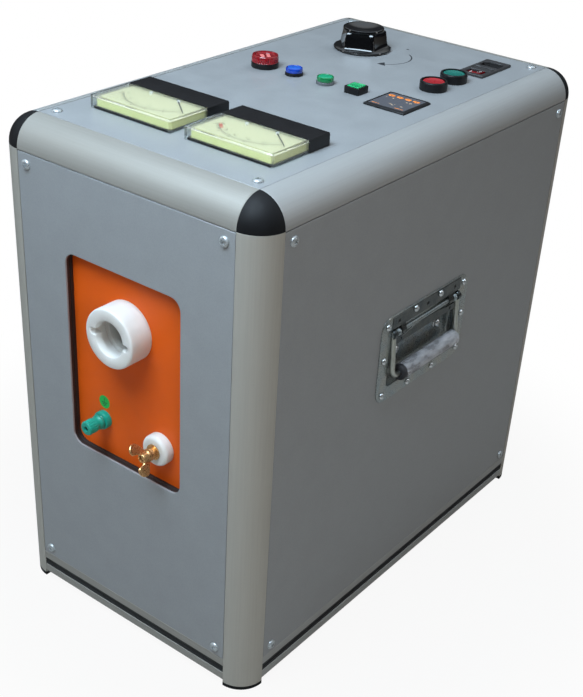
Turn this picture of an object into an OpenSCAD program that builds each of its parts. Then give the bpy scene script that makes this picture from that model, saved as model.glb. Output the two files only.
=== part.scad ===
// High-voltage cable tester in an aluminium-profile cabinet.
// The front, with the output bay, faces -Y. The operator stands behind it at +Y and works on the top.
// The origin is on the floor, under the middle of the whole outline.

/* [Cabinet] */
// Width of the cabinet, side to side
cabinet_w = 320; // [304:1:380]
// Depth of the cabinet, front to back
cabinet_d = 546; // [520:1:640]
// Height of the cabinet, floor to top
cabinet_h = 532; // [515:1:620]
// Radius of the rounded posts, rails and corner caps
edge_r = 28.5; // [25:0.5:30]
// Wall of the aluminium profiles
profile_wall = 3; // [2.4:0.1:3.6]
// Width of the profile flanges that the panels are screwed to
flange_w = 20; // [18:0.5:24]
// Thickness of those flanges
flange_t = 2.5; // [2:0.1:3.5]
// Thickness of the sheet panels
panel_t = 2; // [1.5:0.1:3]
// Gap between a panel and the profiles round it
panel_gap = 0.6; // [0.3:0.1:1.2]
// Height of the bottom rails
rail_h = 28; // [26:0.5:34]
// Clearance under the bottom rails
rail_lift = 7.5; // [6:0.5:14]
// Opening of the slot in the bottom rails
slot_h = 9.2; // [6:0.2:10]
// Thickness of the plates of the foot caps
foot_cap_t = 4; // [2:0.1:5]
// Length of the spigots that hold the caps in the profiles
spigot_len = 15; // [10:1:25]
// Thickness of the floor tray
tray_t = 2.5; // [2:0.1:3]
// Distance of the panel screws from a panel's edges
screw_inset = 12; // [9:0.5:14]
// Head diameter of the panel screws
screw_head_d = 10; // [8:0.2:12]
// Shank diameter of the panel screws
screw_d = 5; // [4:0.2:6]

/* [Front bay] */
// Width of the window in the front panel
window_w = 145; // [140:1:160]
// Height of the window
window_h = 210.5; // [200:0.5:230]
// Corner radius of the window
window_r = 12; // [6:0.5:18]
// Top edge of the window below the cabinet's top
window_drop = 112.5; // [104:0.5:125]
// Depth of the black spacer between front panel and insulating board
spacer_t = 8; // [4:0.2:12]
// Width of the spacer round the window
spacer_w = 20; // [14:0.5:24]
// Thickness of the orange insulating board
board_t = 6; // [4:0.2:8]
// Height of the output bush's middle below the top
bush_drop = 172.5; // [168:0.5:180]
// Outside diameter of the output bush
bush_d = 60; // [56:0.5:66]
// How far the bush stands out of the cabinet's front
bush_proud = 16; // [14:0.5:26]
// Diameter of the bush's mouth
mouth_d = 36; // [32:0.5:38]
// Length of the barrel of the bush behind the board
barrel_len = 60; // [45:1:80]
// Height of the two terminals below the top
terminal_drop = 285.5; // [276:0.5:290]
// Distance of each terminal from the middle
terminal_x = 38; // [34:0.5:42]
// Diameter of the earth post's head
post_head_d = 14.8; // [13:0.2:16]
// Diameter of the earth post's collar
post_collar_d = 18.8; // [17:0.2:21]
// Diameter of the plug socket in the earth post
post_socket_d = 4.1; // [4:0.05:4.4]
// Diameter of the white stud insulator
insulator_d = 32.6; // [30:0.2:36]
// Thickness of the stud insulator
insulator_t = 10.6; // [9:0.2:12]
// Diameter of the return stud
stud_d = 6; // [5:0.2:6.4]
// Span of the wing nut over its wings
wing_span = 34; // [30:0.5:40]

/* [Handles] */
// Width of the handle's flange
handle_w = 160; // [150:1:170]
// Height of the handle's flange
handle_h = 97; // [95:1:110]
// Middle of the handles below the top
handle_drop = 222.5; // [180:0.5:260]
// Distance of the handles' middles from the cabinet's front
handle_in = 271; // [240:1:300]
// Width of the dish
dish_w = 127; // [118:1:130]
// Height of the dish
dish_h = 65; // [59:0.5:67]
// Depth of the dish behind the flange's face
dish_depth = 10; // [9.5:0.5:16]
// Sheet thickness of the handle's pressed dish
dish_t = 1.5; // [1:0.1:2]
// Diameter of the bent rod of the bail
bail_d = 6; // [6:0.2:8]
// Diameter of the handle grip
grip_d = 16.8; // [16:0.1:22]
// Distance of the grip's middle from the hinge pin
bail_reach = 47.5; // [40:0.5:50]
// Rest angle of the bail off the side of the cabinet
bail_rest = 4.5; // [2:0.5:24]
// Diameter of the hinge pin
hinge_pin_d = 5; // [4:0.2:5.4]

/* [Meters] */
// Width of each panel meter
meter_w = 101; // [96:0.5:106]
// Depth of the clear part of each meter
clear_d = 50; // [46:0.5:54]
// Depth of the black part of each meter
band_d = 31; // [28:0.5:36]
// Height of the meters above the top panel
meter_h = 12.6; // [11.6:0.1:16]
// Thickness of the meters' roofs
meter_roof_t = 1.4; // [1:0.1:1.6]
// Wall of the meter's mouldings
meter_wall = 2; // [1.4:0.1:2.4]
// Distance between the middles of the two meters
meter_pitch = 117.2; // [112:0.1:124]
// Distance of the joint between clear and black part from the cabinet's front
meter_joint_in = 121; // [112:0.5:130]
// Distance of the dial faces below the meters' tops
dial_drop = 3.6; // [3.5:0.1:7]
// Length of the meter pointers
pointer_len = 55; // [48:0.5:56]

/* [Controls] */
// Distance of the row of lamps, key and timer from the cabinet's rear
row_in = 253.2; // [238:0.2:260]
// Distance of the red button's middle from the cabinet's rear
red_button_in = 186; // [182:0.5:192]
// Distance of the green button's middle from the cabinet's rear
green_button_in = 147.3; // [138:0.1:150]
// Distance of the knob's middle from the cabinet's rear
knob_in = 120.8; // [106:0.1:126]
// Distance of the mains inlet's middle from the cabinet's rear
inlet_in = 86.5; // [80:0.5:90]
// Diameter of the beacon's collar
beacon_d = 28.7; // [26:0.1:32]
// Diameter of the collars of the small lamps
lamp_d = 18.8; // [17.6:0.1:21]
// Side of the square key
key_side = 17.6; // [17:0.1:20]
// Side of the timer's bezel
timer_side = 48; // [46:0.5:52]
// Diameter of the push buttons' bezels
button_d = 28.4; // [27:0.1:32]
// Travel of the push buttons
button_travel = 3.5; // [2.5:0.1:4]
// Travel of the square key
key_travel = 2.5; // [1.5:0.1:2.8]
// Width of the mains inlet's bezel
inlet_w = 30.4; // [30:0.2:34]
// Length of the mains inlet's bezel
inlet_len = 61; // [57:0.2:64]
// Diameter of the knob's skirt
knob_d = 63.6; // [62:0.1:70]
// Height of the knob above the top panel
knob_h = 24; // [23:0.5:30]
// Diameter of the variable transformer's shaft
shaft_d = 8; // [6:0.5:10]
// Outside diameter of the variable transformer's toroid
toroid_d = 124; // [110:1:130]
// Height of the toroid
toroid_h = 48; // [40:1:60]

/* [Hidden] */
$fn = 64;
fit = 0.1;
run = 0.3;
eps = 0.01;

// Cabinet, worked out from the sizes above
half_w = cabinet_w / 2;
half_d = cabinet_d / 2;
span_x = cabinet_w - 2 * edge_r;
span_y = cabinet_d - 2 * edge_r;
rail_top = rail_lift + rail_h;
post_top = cabinet_h - edge_r;
panel_low = rail_top;
panel_high = post_top;
panel_mid = (panel_low + panel_high) / 2;
flange_at = edge_r - panel_t - flange_t;
lip_h = 16;
ledge_w = 16;
slot_neck = 3;
slot_cavity_d = 5;
slot_cavity_h = slot_h + 8;
slot_mid = rail_h / 2;
slot_recess = 0.8;
tray_z = rail_lift + profile_wall;
low_screw_inset = 10;
spigot_from = profile_wall + fit;
spigot_side = (edge_r - profile_wall) / sqrt(2) - spigot_from - fit;
screw_dome = 2.6;
joint_gap = 0.2;
screw_len = panel_t + flange_t + 6;

// Front bay
window_x = -1.5;
window_mid = cabinet_h - window_drop - window_h / 2;
board_face = -(panel_t + spacer_t);
board_back = board_face - board_t;
bay_w = window_w + 2 * spacer_w;
bay_h = window_h + 2 * spacer_w;
bay_stud_d = 4;
bay_stud_end = board_back - 10;
bush_x = window_x - 1.5;
bush_z = cabinet_h - bush_drop;
barrel_d = bush_d - 13;
mouth_lip = 9;
groove_len = 10;
groove_d = mouth_d + 11;
bayonet_w = 7;
bayonet_reach = mouth_d / 2 + 6;
bayonet_turn = -5;
contact_d = 8;
mouth_floor = board_back - barrel_len + 25;
ring_nut_d = barrel_d + 16;
ring_nut_t = 10;
terminal_z = cabinet_h - terminal_drop;
stem_d = 6;
collar_t = 6.5;
post_ring_t = 1.2;
post_ring_from = board_face + collar_t + run;
post_head_from = post_ring_from + post_ring_t + run;
post_head_len = 18.3;
post_flutes = 20;
screw_pitch = 1;
insulator_face = board_face + insulator_t;
stud_washer_t = 1.2;
hex_t = 5;
hex_across = 10;
stud_seat = insulator_face + stud_washer_t + hex_t;
wing_washer_t = 1;
wing_from = stud_seat + run + wing_washer_t + run;
boss_h = 9;
wing_tilt = -55;
wing_t = 2.6;
wing_lobe_r = 6.3;
wing_rise = 2.6;
wing_reach = wing_from + boss_h + wing_rise + wing_lobe_r;
middle_shift = (max(bush_proud, wing_reach) - screw_dome) / 2;

// Handles
handle_z = cabinet_h - handle_drop;
handle_y = handle_in - half_d;
handle_r = 15;
dish_lift = 0.5;
hinge_up = dish_lift + dish_h / 2 - 6;
hinge_in = 1.2;
eye_d = hinge_pin_d + 4.6;
dish_corner = 4;
arm_x = dish_w / 2 - bail_d / 2 - 1.1;
bend_r = 9;
grip_len = 2 * (arm_x - bend_r) - 4;
knuckle_x = arm_x - 15;
knuckle_w = 8;
knuckle_d = hinge_pin_d + 3;
strip_up = dish_lift + dish_h / 2 + 7.3;
strip_t = 0.8;
rivet_d = 4;
rivet_head_d = 7.5;
rivet_spots = [
    [-70.5, 39], [-23, 43], [23, 43], [70.5, 39], [72.5, 2], [70.5, -39], [23, -42], [-23, -42],
    [-70.5, -39], [-72.5, 2]
];
dish_screw_x = 39.5;
spring_len = 6;

// Meters
meter_mid_x = 1.5;
meter_joint_y = half_d - meter_joint_in;
meter_base_t = 2;
dial_face = meter_h - dial_drop;
dial_t = 0.8;
pivot_back = 11;
pivot_hole_r = 11;
zero_back = 18;
can_d = 58;
can_depth = 36;
can_y = -2;
magnet_d = 25;
magnet_bore = 17;
staff_low = 10.5 - can_depth;
pointer_boss_d = 4.6;
tail_len = 11;
coil_w = 13;
coil_d = 10;
coil_h = 14;
coil_t = 1.5;
coil_low = -18;
staff_d = 1.6;
rest_angle = -39.8;
pointer_z = dial_face + 0.7;
zero_head_d = 6;

// Controls
beacon_x = -78.5;
blue_x = -39.9;
green_x = 0;
key_x = 38.4;
timer_x = 87.5;
button_x = 86.5;
inlet_x = 88.3;
knob_x = -47.8;
row_y = half_d - row_in;
red_button_y = half_d - red_button_in;
green_button_y = half_d - green_button_in;
inlet_y = half_d - inlet_in;
knob_y = half_d - knob_in;
block_side = 28;
bezel_floor = 1.2;
bezel_h = 9.4;
bezel_depth = 32;
bezel_rim = 2.5;
bezel_cap_h = 8.6;
inlet_body_w = inlet_w - 3.8;
inlet_body_len = inlet_len - 5;
barrel_large = 22;
barrel_depth = 30;
lamp_depth = 26;
barrel_small = 16;
nut_t = 4;
lobes = 5;
lobe_turn = -30;
skirt_z = 0.8;
knob_foot = 4;
knob_body_r = 28;
knob_top_r = 22.5;
case_depth = 78;
inlet_depth = 34;
rocker_y = -18.5;
rocker_tilt = 9;
drawer_y = -3.6;
socket_y = 15;
socket_depth = 17;

// Shared forms
module ring(outer_d, inner_d, from, to)
    translate([0, 0, from])
        difference() {
            cylinder(d = outer_d, h = to - from);
            translate([0, 0, -1])
                cylinder(d = inner_d, h = to - from + 2);
        }

module rod(d, from, to)
    translate([0, 0, from])
        cylinder(d = d, h = to - from);

module rounded_rect(w, h, r) {
    square([w - 2 * r, h], center = true);
    square([w, h - 2 * r], center = true);
    for (x = [-1, 1], y = [-1, 1])
        translate([x * (w / 2 - r), y * (h / 2 - r)])
            circle(r = r);
}

module slab(w, h, from, to, r = 0)
    translate([0, 0, from])
        linear_extrude(to - from)
            if (r > 0)
                rounded_rect(w, h, r);
            else
                square([w, h], center = true);

// A block with its upper edges cut at 45 degrees
module bevelled_slab(w, h, from, to, cut) {
    slab(w, h, from, to - cut);
    intersection() {
        slab(w, h, to - cut - eps, to);
        rotate([90, 0, 0])
            linear_extrude(h, center = true)
                polygon([
                    [-w / 2, to - cut - eps], [w / 2, to - cut - eps],
                    [w / 2, to - cut], [w / 2 - cut, to], [cut - w / 2, to], [-w / 2, to - cut]
                ]);
        rotate([90, 0, 90])
            linear_extrude(w, center = true)
                polygon([
                    [-h / 2, to - cut - eps], [h / 2, to - cut - eps],
                    [h / 2, to - cut], [h / 2 - cut, to], [cut - h / 2, to], [-h / 2, to - cut]
                ]);
    }
}

// A turned piece from its half section
module turned(points)
    rotate_extrude()
        polygon(points);

// Places: local Z points out of the face
module at_top(x, y)
    translate([x, y, cabinet_h])
        children();

module on_front(x, z)
    translate([x, -half_d, z])
        rotate([90, 0, 0])
            children();

module on_rear(x, z)
    translate([x, half_d, z])
        rotate([90, 0, 180])
            children();

module on_right(y, z)
    translate([half_w, y, z])
        rotate([90, 0, 90])
            children();

module four_corners(x, y)
    for (sx = [-1, 1], sy = [-1, 1])
        translate([sx * x, sy * y, 0])
            children();

module placed()
    translate([0, middle_shift, 0])
        children();

// Frame
module chamber_2d()
    difference() {
        intersection() {
            circle(r = edge_r);
            square(edge_r);
        }
        intersection() {
            circle(r = edge_r - profile_wall);
            translate([profile_wall, profile_wall])
                square(edge_r);
        }
    }

module flange_2d()
    translate([-flange_w, flange_at])
        square([flange_w + eps, flange_t]);

module corner_post() {
    translate([0, 0, foot_cap_t])
        linear_extrude(post_top - foot_cap_t)
            chamber_2d();
    translate([0, 0, rail_top])
        linear_extrude(post_top - flange_w - rail_top - joint_gap) {
            flange_2d();
            mirror([1, -1, 0])
                flange_2d();
        }
}

module front_top_rail()
    translate([0, half_d - edge_r, post_top])
        rotate([90, 0, 90])
            linear_extrude(span_x - 2 * joint_gap, center = true) {
                chamber_2d();
                flange_2d();
                mirror([1, -1, 0])
                    flange_2d();
            }

module side_top_rail()
    translate([half_w - edge_r, 0, post_top])
        rotate([90, 0, 0]) {
            linear_extrude(span_y - 2 * joint_gap, center = true) {
                chamber_2d();
                mirror([1, -1, 0])
                    flange_2d();
            }
            linear_extrude(span_y - 2 * flange_w - 2 * joint_gap, center = true)
                flange_2d();
        }

module frame_profiles()
    color("#9a9c98")
        difference() {
            union() {
                for (mx = [0, 1], my = [0, 1])
                    mirror([mx, 0, 0])
                        mirror([0, my, 0])
                            translate([half_w - edge_r, half_d - edge_r, 0])
                                corner_post();
                for (my = [0, 1])
                    mirror([0, my, 0])
                        front_top_rail();
                for (mx = [0, 1])
                    mirror([mx, 0, 0])
                        side_top_rail();
            }
            screw_holes(screw_d + fit);
        }

module bottom_rail_2d()
    difference() {
        translate([0, rail_lift])
            square([edge_r, rail_h]);
        translate([edge_r - slot_neck, rail_lift + slot_mid - slot_h / 2])
            square([slot_neck + 1, slot_h]);
        translate([edge_r - slot_neck - slot_cavity_d, rail_lift + slot_mid - slot_cavity_h / 2])
            square([slot_cavity_d + eps, slot_cavity_h]);
        translate([profile_wall, rail_lift + profile_wall])
            square([edge_r - slot_neck - slot_cavity_d - 2 * profile_wall, rail_h - 2 * profile_wall]);
    }

module bottom_rail(span, flat_ends) {
    rotate([90, 0, 90])
        linear_extrude(span - 2 * joint_gap, center = true)
            bottom_rail_2d();
    rotate([90, 0, 90])
        linear_extrude(span - 2 * flange_w - 2 * joint_gap, center = true)
            translate([flange_at, rail_top - eps])
                square([flange_t, lip_h]);
    rotate([90, 0, 90])
        linear_extrude(span - 2 * joint_gap - (flat_ends ? 0 : 2 * ledge_w), center = true)
            translate([-ledge_w, rail_lift])
                square([ledge_w + eps, profile_wall]);
}

module four_rails()
    for (turn = [0, 180]) {
        rotate([0, 0, turn])
            translate([0, half_d - edge_r, 0])
                children(0);
        rotate([0, 0, turn + 90])
            translate([0, half_w - edge_r, 0])
                children(1);
    }

module bottom_rails()
    color("#94968f")
        four_rails() {
            bottom_rail(span_x, true);
            bottom_rail(span_y, false);
        }

module slot_strip(span)
    rotate([90, 0, 90])
        linear_extrude(span - 2 * joint_gap, center = true)
            difference() {
                union() {
                    translate([edge_r - slot_neck - 2, rail_lift + slot_mid - slot_h / 2 + fit])
                        square([slot_neck + 2 - slot_recess, slot_h - 2 * fit]);
                    translate([edge_r - slot_neck - 2, rail_lift + slot_mid - slot_h / 2 - 2])
                        square([2 - fit, slot_h + 4]);
                }
                translate([edge_r - slot_recess - 0.6, rail_lift + slot_mid - 1])
                    square([2, 2]);
            }

module slot_strips()
    color("#1d1d1f")
        four_rails() {
            slot_strip(span_x);
            slot_strip(span_y);
        }

module spigot(inside)
    translate([spigot_from, spigot_from, -spigot_len])
        cube([spigot_side, spigot_side, spigot_len + inside]);

module corner_cap() {
    core = spigot_from + 1;
    difference() {
        intersection() {
            sphere(r = edge_r);
            cube(edge_r);
        }
        sphere(r = edge_r - profile_wall);
    }
    intersection() {
        translate([spigot_from, spigot_from, spigot_from])
            cube(spigot_side);
        sphere(r = edge_r - profile_wall / 2);
    }
    spigot(core);
    rotate([90, 0, 90])
        spigot(core);
    rotate([0, -90, -90])
        spigot(core);
}

module foot_cap() {
    linear_extrude(foot_cap_t)
        intersection() {
            circle(r = edge_r);
            square(edge_r);
        }
    translate([spigot_from, spigot_from, foot_cap_t - eps])
        cube([spigot_side, spigot_side, spigot_len]);
}

module frame_caps()
    color("#202022")
        for (mx = [0, 1], my = [0, 1])
            mirror([mx, 0, 0])
                mirror([0, my, 0])
                    translate([half_w - edge_r, half_d - edge_r, 0]) {
                        translate([0, 0, post_top])
                            corner_cap();
                        foot_cap();
                    }

// Skins
module screw_spots() {
    at_top(0, 0)
        four_corners(span_x / 2 - screw_inset, span_y / 2 - screw_inset)
            children();
    for (x = [-1, 1], z = [panel_low + low_screw_inset, panel_high - screw_inset]) {
        on_front(x * (span_x / 2 - screw_inset), z)
            children();
        on_rear(x * (span_x / 2 - screw_inset), z)
            children();
        on_right(x * (span_y / 2 - screw_inset), z)
            children();
        mirror([1, 0, 0])
            on_right(x * (span_y / 2 - screw_inset), z)
                children();
    }
}

module screw_holes(d)
    screw_spots()
        rod(d, -screw_len - 2, 3);

module sheet(w, h)
    linear_extrude(panel_t)
        square([w - 2 * panel_gap, h - 2 * panel_gap], center = true);

module top_panel()
    color("#9aa5ac")
        difference() {
            translate([0, 0, cabinet_h - panel_t])
                sheet(span_x, span_y);
            screw_holes(screw_d + 2 * run);
            for (side = [-1, 1])
                at_top(meter_mid_x + side * meter_pitch / 2, can_y - meter_joint_y)
                    rod(can_d + 2 * run, -5, 5);
            at_top(beacon_x, row_y)
                rod(barrel_large + 2 * fit, -5, 5);
            for (x = [blue_x, green_x, key_x])
                at_top(x, row_y)
                    rod(barrel_small + 2 * fit, -5, 5);
            at_top(timer_x, row_y)
                slab(timer_side - 3, timer_side - 3, -5, 5);
            for (y = [red_button_y, green_button_y])
                at_top(button_x, y)
                    rod(barrel_large + 2 * fit, -5, 5);
            at_top(inlet_x, inlet_y)
                slab(inlet_body_w + 4 * fit, inlet_body_len + 4 * fit, -5, 5);
            at_top(knob_x, knob_y)
                rod(shaft_d + 2, -5, 5);
        }

module bay_stud_spots()
    for (x = [-1, 1], z = [-1, 0, 1])
        on_front(window_x + x * (window_w + spacer_w) / 2, window_mid + z * (window_h + spacer_w) / 2)
            children();

module front_panel()
    color("#858f96") {
        difference() {
            on_front(0, panel_mid)
                translate([0, 0, -panel_t])
                    sheet(span_x, panel_high - panel_low);
            screw_holes(screw_d + 2 * run);
            on_front(window_x, window_mid)
                slab(window_w, window_h, -5, 5, window_r);
        }
        bay_stud_spots()
            rod(bay_stud_d, bay_stud_end, -panel_t + eps);
    }

module rear_panel()
    color("#858f96")
        difference() {
            on_rear(0, panel_mid)
                translate([0, 0, -panel_t])
                    sheet(span_x, panel_high - panel_low);
            screw_holes(screw_d + 2 * run);
        }

module side_panels()
    color("#7b848a")
        difference() {
            for (mx = [0, 1])
                mirror([mx, 0, 0])
                    on_right(0, panel_mid)
                        translate([0, 0, -panel_t])
                            sheet(span_y, panel_high - panel_low);
            screw_holes(screw_d + 2 * run);
            for (mx = [0, 1])
                mirror([mx, 0, 0])
                    on_right(handle_y, handle_z) {
                        translate([0, dish_lift, 0])
                            slab(dish_w + 2 * dish_t + 1, dish_h + 2 * dish_t + 1, -5, 5);
                        for (spot = rivet_spots)
                            translate(spot)
                                rod(rivet_d + fit, -5, 5);
                    }
        }

module floor_tray()
    color("#8d9296") {
        translate([0, 0, tray_z])
            linear_extrude(tray_t)
                square([span_x - 1, span_y - 1], center = true);
        for (x = [-1, 1])
            translate([x * (span_x / 2 - ledge_w - 5), 0, tray_z - 0.5 + tray_t])
                linear_extrude(8)
                    square([2, span_y - 60], center = true);
    }

module pan_screw() {
    turned([
        [0, -screw_len], [screw_d / 2, -screw_len], [screw_d / 2, 0], [screw_head_d / 2, 0],
        [screw_head_d / 2, 0.9], [screw_head_d / 2 - 1, 2.1], [screw_head_d / 5, screw_dome], [0, screw_dome]
    ]);
}

module rivet() {
    turned([
        [0, -panel_t - 2], [rivet_d / 2, -panel_t - 2], [rivet_d / 2, dish_t], [rivet_head_d / 2, dish_t],
        [rivet_head_d / 2 - 0.5, dish_t + 0.9], [rivet_head_d / 4, dish_t + 1.5], [0, dish_t + 1.5]
    ]);
}

module panel_fasteners()
    color("#c9c7be") {
        screw_spots()
            pan_screw();
        bay_stud_spots()
            difference() {
                translate([0, 0, board_back - 3.2])
                    cylinder(d = 8, h = 3.2, $fn = 6);
                rod(bay_stud_d + fit, board_back - 5, board_back + 1);
            }
        for (mx = [0, 1])
            mirror([mx, 0, 0])
                on_right(handle_y, handle_z) {
                    for (spot = rivet_spots)
                        translate([spot[0], spot[1], spot[1] > 40 ? strip_t : 0])
                            rivet();
                    for (x = [-1, 1])
                        translate([x * dish_screw_x, -1, dish_t - dish_depth])
                            turned([[0, -4], [2.5, -4], [2.5, 0], [5, 0], [5, 1.4], [4, 3], [0, 3.4]]);
                }
    }

// Front bay
module window_spacer()
    color("#1c1b1b")
        on_front(window_x, window_mid)
            difference() {
                slab(bay_w, bay_h, board_face, -panel_t, 6);
                slab(window_w + 0.6, window_h + 0.6, board_face - 1, 0, window_r);
                difference() {
                    slab(window_w + 3, window_h + 3, board_face + spacer_t / 2 - 0.4,
                        board_face + spacer_t / 2 + 0.4, window_r);
                    slab(window_w - 3, window_h - 3, board_face, 0, window_r);
                }
                for (x = [-1, 1], z = [-1, 0, 1])
                    translate([x * (window_w + spacer_w) / 2, z * (window_h + spacer_w) / 2, 0])
                        rod(bay_stud_d + run, -20, 5);
            }

module insulating_board()
    color("#d9561c")
        difference() {
            on_front(window_x, window_mid)
                slab(bay_w, bay_h, board_back, board_face, 6);
            bay_stud_spots()
                rod(bay_stud_d + run, -30, 5);
            on_front(bush_x, bush_z)
                rod(barrel_d + 2 * fit, -30, 5);
            for (x = [-1, 1])
                on_front(x * terminal_x, terminal_z)
                    rod(stem_d + 2 * fit, -30, 5);
        }

module bush_body()
    difference() {
        turned([
            [0, board_back - barrel_len], [barrel_d / 2, board_back - barrel_len], [barrel_d / 2, board_face],
            [bush_d / 2, board_face], [bush_d / 2, bush_proud - 1.4], [bush_d / 2 - 0.4, bush_proud - 0.4],
            [bush_d / 2 - 1.4, bush_proud], [0, bush_proud]
        ]);
        rod(mouth_d, mouth_floor, bush_proud + 1);
        rod(groove_d, bush_proud - mouth_lip - groove_len, bush_proud - mouth_lip);
        rod(contact_d, board_back - barrel_len - 1, mouth_floor + 1);
        rotate([0, 0, bayonet_turn])
            slab(2 * bayonet_reach - bayonet_w, bayonet_w, bush_proud - mouth_lip - 1, bush_proud + 1);
        rotate([0, 0, bayonet_turn])
            for (x = [-1, 1])
                translate([x * (bayonet_reach - bayonet_w / 2), 0, 0])
                    rod(bayonet_w, bush_proud - mouth_lip - 1, bush_proud + 1);
    }

module hv_bush()
    color("#f1f1ee")
        on_front(bush_x, bush_z)
            bush_body();

module hv_bush_nut()
    color("#ecebe6")
        on_front(bush_x, bush_z)
            difference() {
                translate([0, 0, board_back - ring_nut_t])
                    cylinder(d = ring_nut_d, h = ring_nut_t, $fn = 8);
                rod(barrel_d + 2 * fit, board_back - ring_nut_t - 1, board_back + 1);
            }

module hv_contact()
    color("#c39a4a")
        on_front(bush_x, bush_z)
            turned([
                [0, board_back - barrel_len - 34], [contact_d / 2 - 0.05, board_back - barrel_len - 34],
                [contact_d / 2 - 0.05, mouth_floor - 3], [contact_d / 2 - 1.5, mouth_floor - 1.5],
                [0, mouth_floor - 1.5]
            ]);

module earth_post_collar()
    color("#0a8f7c")
        on_front(-terminal_x, terminal_z)
            difference() {
                turned([
                    [0, board_face], [post_collar_d / 2, board_face],
                    [post_collar_d / 2, board_face + collar_t - 1],
                    [post_collar_d / 2 - 1, board_face + collar_t], [0, board_face + collar_t]
                ]);
                rod(stem_d + 2 * fit, board_face - 1, board_face + collar_t + 1);
            }

module earth_post_stem()
    color("#cfcabb")
        on_front(-terminal_x, terminal_z) {
            difference() {
                rod(stem_d, board_back - 14, post_head_from + post_head_len - 2);
                rod(post_socket_d, post_head_from + post_head_len - 17, post_head_from + post_head_len);
            }
            ring(12, stem_d - 1, board_back - 4, board_back);
        }

module earth_post_ring()
    color("#d8d4c8")
        on_front(-terminal_x, terminal_z)
            ring(post_head_d - 1.2, stem_d + 2 * run, post_ring_from, post_ring_from + post_ring_t);

module earth_post_head()
    color("#0a8f7c")
        on_front(-terminal_x, terminal_z)
            translate([0, 0, post_head_from])
                difference() {
                    turned([
                        [0, 0], [post_head_d / 2 + 0.3, 0], [post_head_d / 2 + 0.3, 2.2],
                        [post_head_d / 2 - 0.9, 3.4], [post_head_d / 2 - 0.9, 6.2], [post_head_d / 2, 7.4],
                        [post_head_d / 2, post_head_len - 1], [post_head_d / 2 - 1, post_head_len],
                        [0, post_head_len]
                    ]);
                    rod(stem_d + 2 * run, -1, post_head_len - 1.6);
                    rod(post_socket_d + 0.9, post_head_len - 3, post_head_len + 1);
                    for (k = [0 : post_flutes - 1])
                        rotate([0, 0, k * 360 / post_flutes])
                            translate([post_head_d / 2 + 0.3, 0, 0])
                                rod(1.4, 8, post_head_len + 1);
                }

module stud_insulator()
    color("#efefec")
        on_front(terminal_x, terminal_z)
            difference() {
                rotate_extrude() {
                    translate([0, board_face])
                        square([insulator_d / 2, insulator_t - 4]);
                    translate([0, board_face])
                        square([insulator_d / 2 - 4, insulator_t]);
                    translate([insulator_d / 2 - 4, insulator_face - 4])
                        circle(r = 4);
                }
                rod(stud_d + 2 * fit, board_face - 1, insulator_face + 1);
            }

module return_stud()
    color("#b98a45")
        on_front(terminal_x, terminal_z) {
            rod(stud_d, board_back - 16, wing_from + boss_h - 1.5);
            ring(14, stud_d - 1, board_back - 5, board_back);
            ring(16, stud_d + 2 * fit, insulator_face, insulator_face + stud_washer_t);
            difference() {
                translate([0, 0, insulator_face + stud_washer_t])
                    cylinder(d = hex_across / cos(30), h = hex_t, $fn = 6);
                rod(stud_d + fit, insulator_face, stud_seat + 1);
            }
        }

module wing_washer()
    color("#8a6a3a")
        on_front(terminal_x, terminal_z)
            ring(13, stud_d + 2 * run, stud_seat + run, stud_seat + run + wing_washer_t);

module wing_outline() {
    tip = wing_span / 2 - wing_lobe_r;
    translate([tip, boss_h + wing_rise])
        circle(r = wing_lobe_r);
    polygon([
        [3.5, 1], [6, 0.8], [tip + 4.3, boss_h - 1], [tip - 3.6, boss_h + 6.9], [3.5, boss_h - 1]
    ]);
}

module wing_nut()
    color("#b98a45")
        on_front(terminal_x, terminal_z)
            translate([0, 0, wing_from])
                rotate([0, 0, wing_tilt])
                    difference() {
                        union() {
                            turned([[0, 0], [6.2, 0], [6.2, 1.4], [5, boss_h - 0.8], [4.6, boss_h], [0, boss_h]]);
                            for (turn = [0, 180])
                                rotate([90, 0, turn])
                                    linear_extrude(wing_t, center = true)
                                        wing_outline();
                        }
                        rod(stud_d + 2 * run, -1, boss_h + 12);
                    }

// Handles, drawn on the right side: X along the side, Y up, Z out of it
module dish_form() {
    difference() {
        union() {
            difference() {
                slab(handle_w, handle_h, 0, dish_t, handle_r);
                for (x = [-52, 0, 52])
                    translate([x, strip_up - 0.3, 0])
                        rod(4, -1, 5);
                for (spot = rivet_spots)
                    translate(spot)
                        rod(rivet_d + fit, -5, 5);
                translate([0, dish_lift, 0])
                    slab(dish_w, dish_h, -1, dish_t + 1, dish_corner);
            }
            translate([0, dish_lift, 0])
                difference() {
                    slab(dish_w + 2 * dish_t, dish_h + 2 * dish_t, -dish_depth, eps, dish_corner + dish_t);
                    slab(dish_w, dish_h, dish_t - dish_depth, dish_t, dish_corner);
                }
            translate([0, strip_up, 0])
                difference() {
                    slab(dish_w - 1, 13.4, dish_t - eps, dish_t + strip_t);
                    for (x = [-52, 0, 52])
                        translate([x, -0.3, 0])
                            rod(4, -1, 5);
                    for (x = [-23, 23])
                        translate([x, 43 - strip_up, 0])
                            rod(rivet_d + fit, -1, 5);
                }
            for (side = [-1, 1])
                translate([side * knuckle_x, 0, 0]) {
                    translate([0, hinge_up, hinge_in])
                        rotate([0, 90, 0])
                            cylinder(d = knuckle_d, h = knuckle_w, center = true);
                    translate([-knuckle_w / 2, hinge_up, dish_t - eps])
                        cube([knuckle_w, strip_up - hinge_up, strip_t + eps]);
                }
        }
        translate([0, hinge_up, hinge_in])
            rotate([0, 90, 0])
                cylinder(d = hinge_pin_d + fit, h = 2 * knuckle_x + knuckle_w + 2, center = true);
        for (x = [-1, 1])
            translate([x * dish_screw_x, -1, 0])
                rod(5 + fit, -dish_depth - 1, 0);
    }
}

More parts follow.
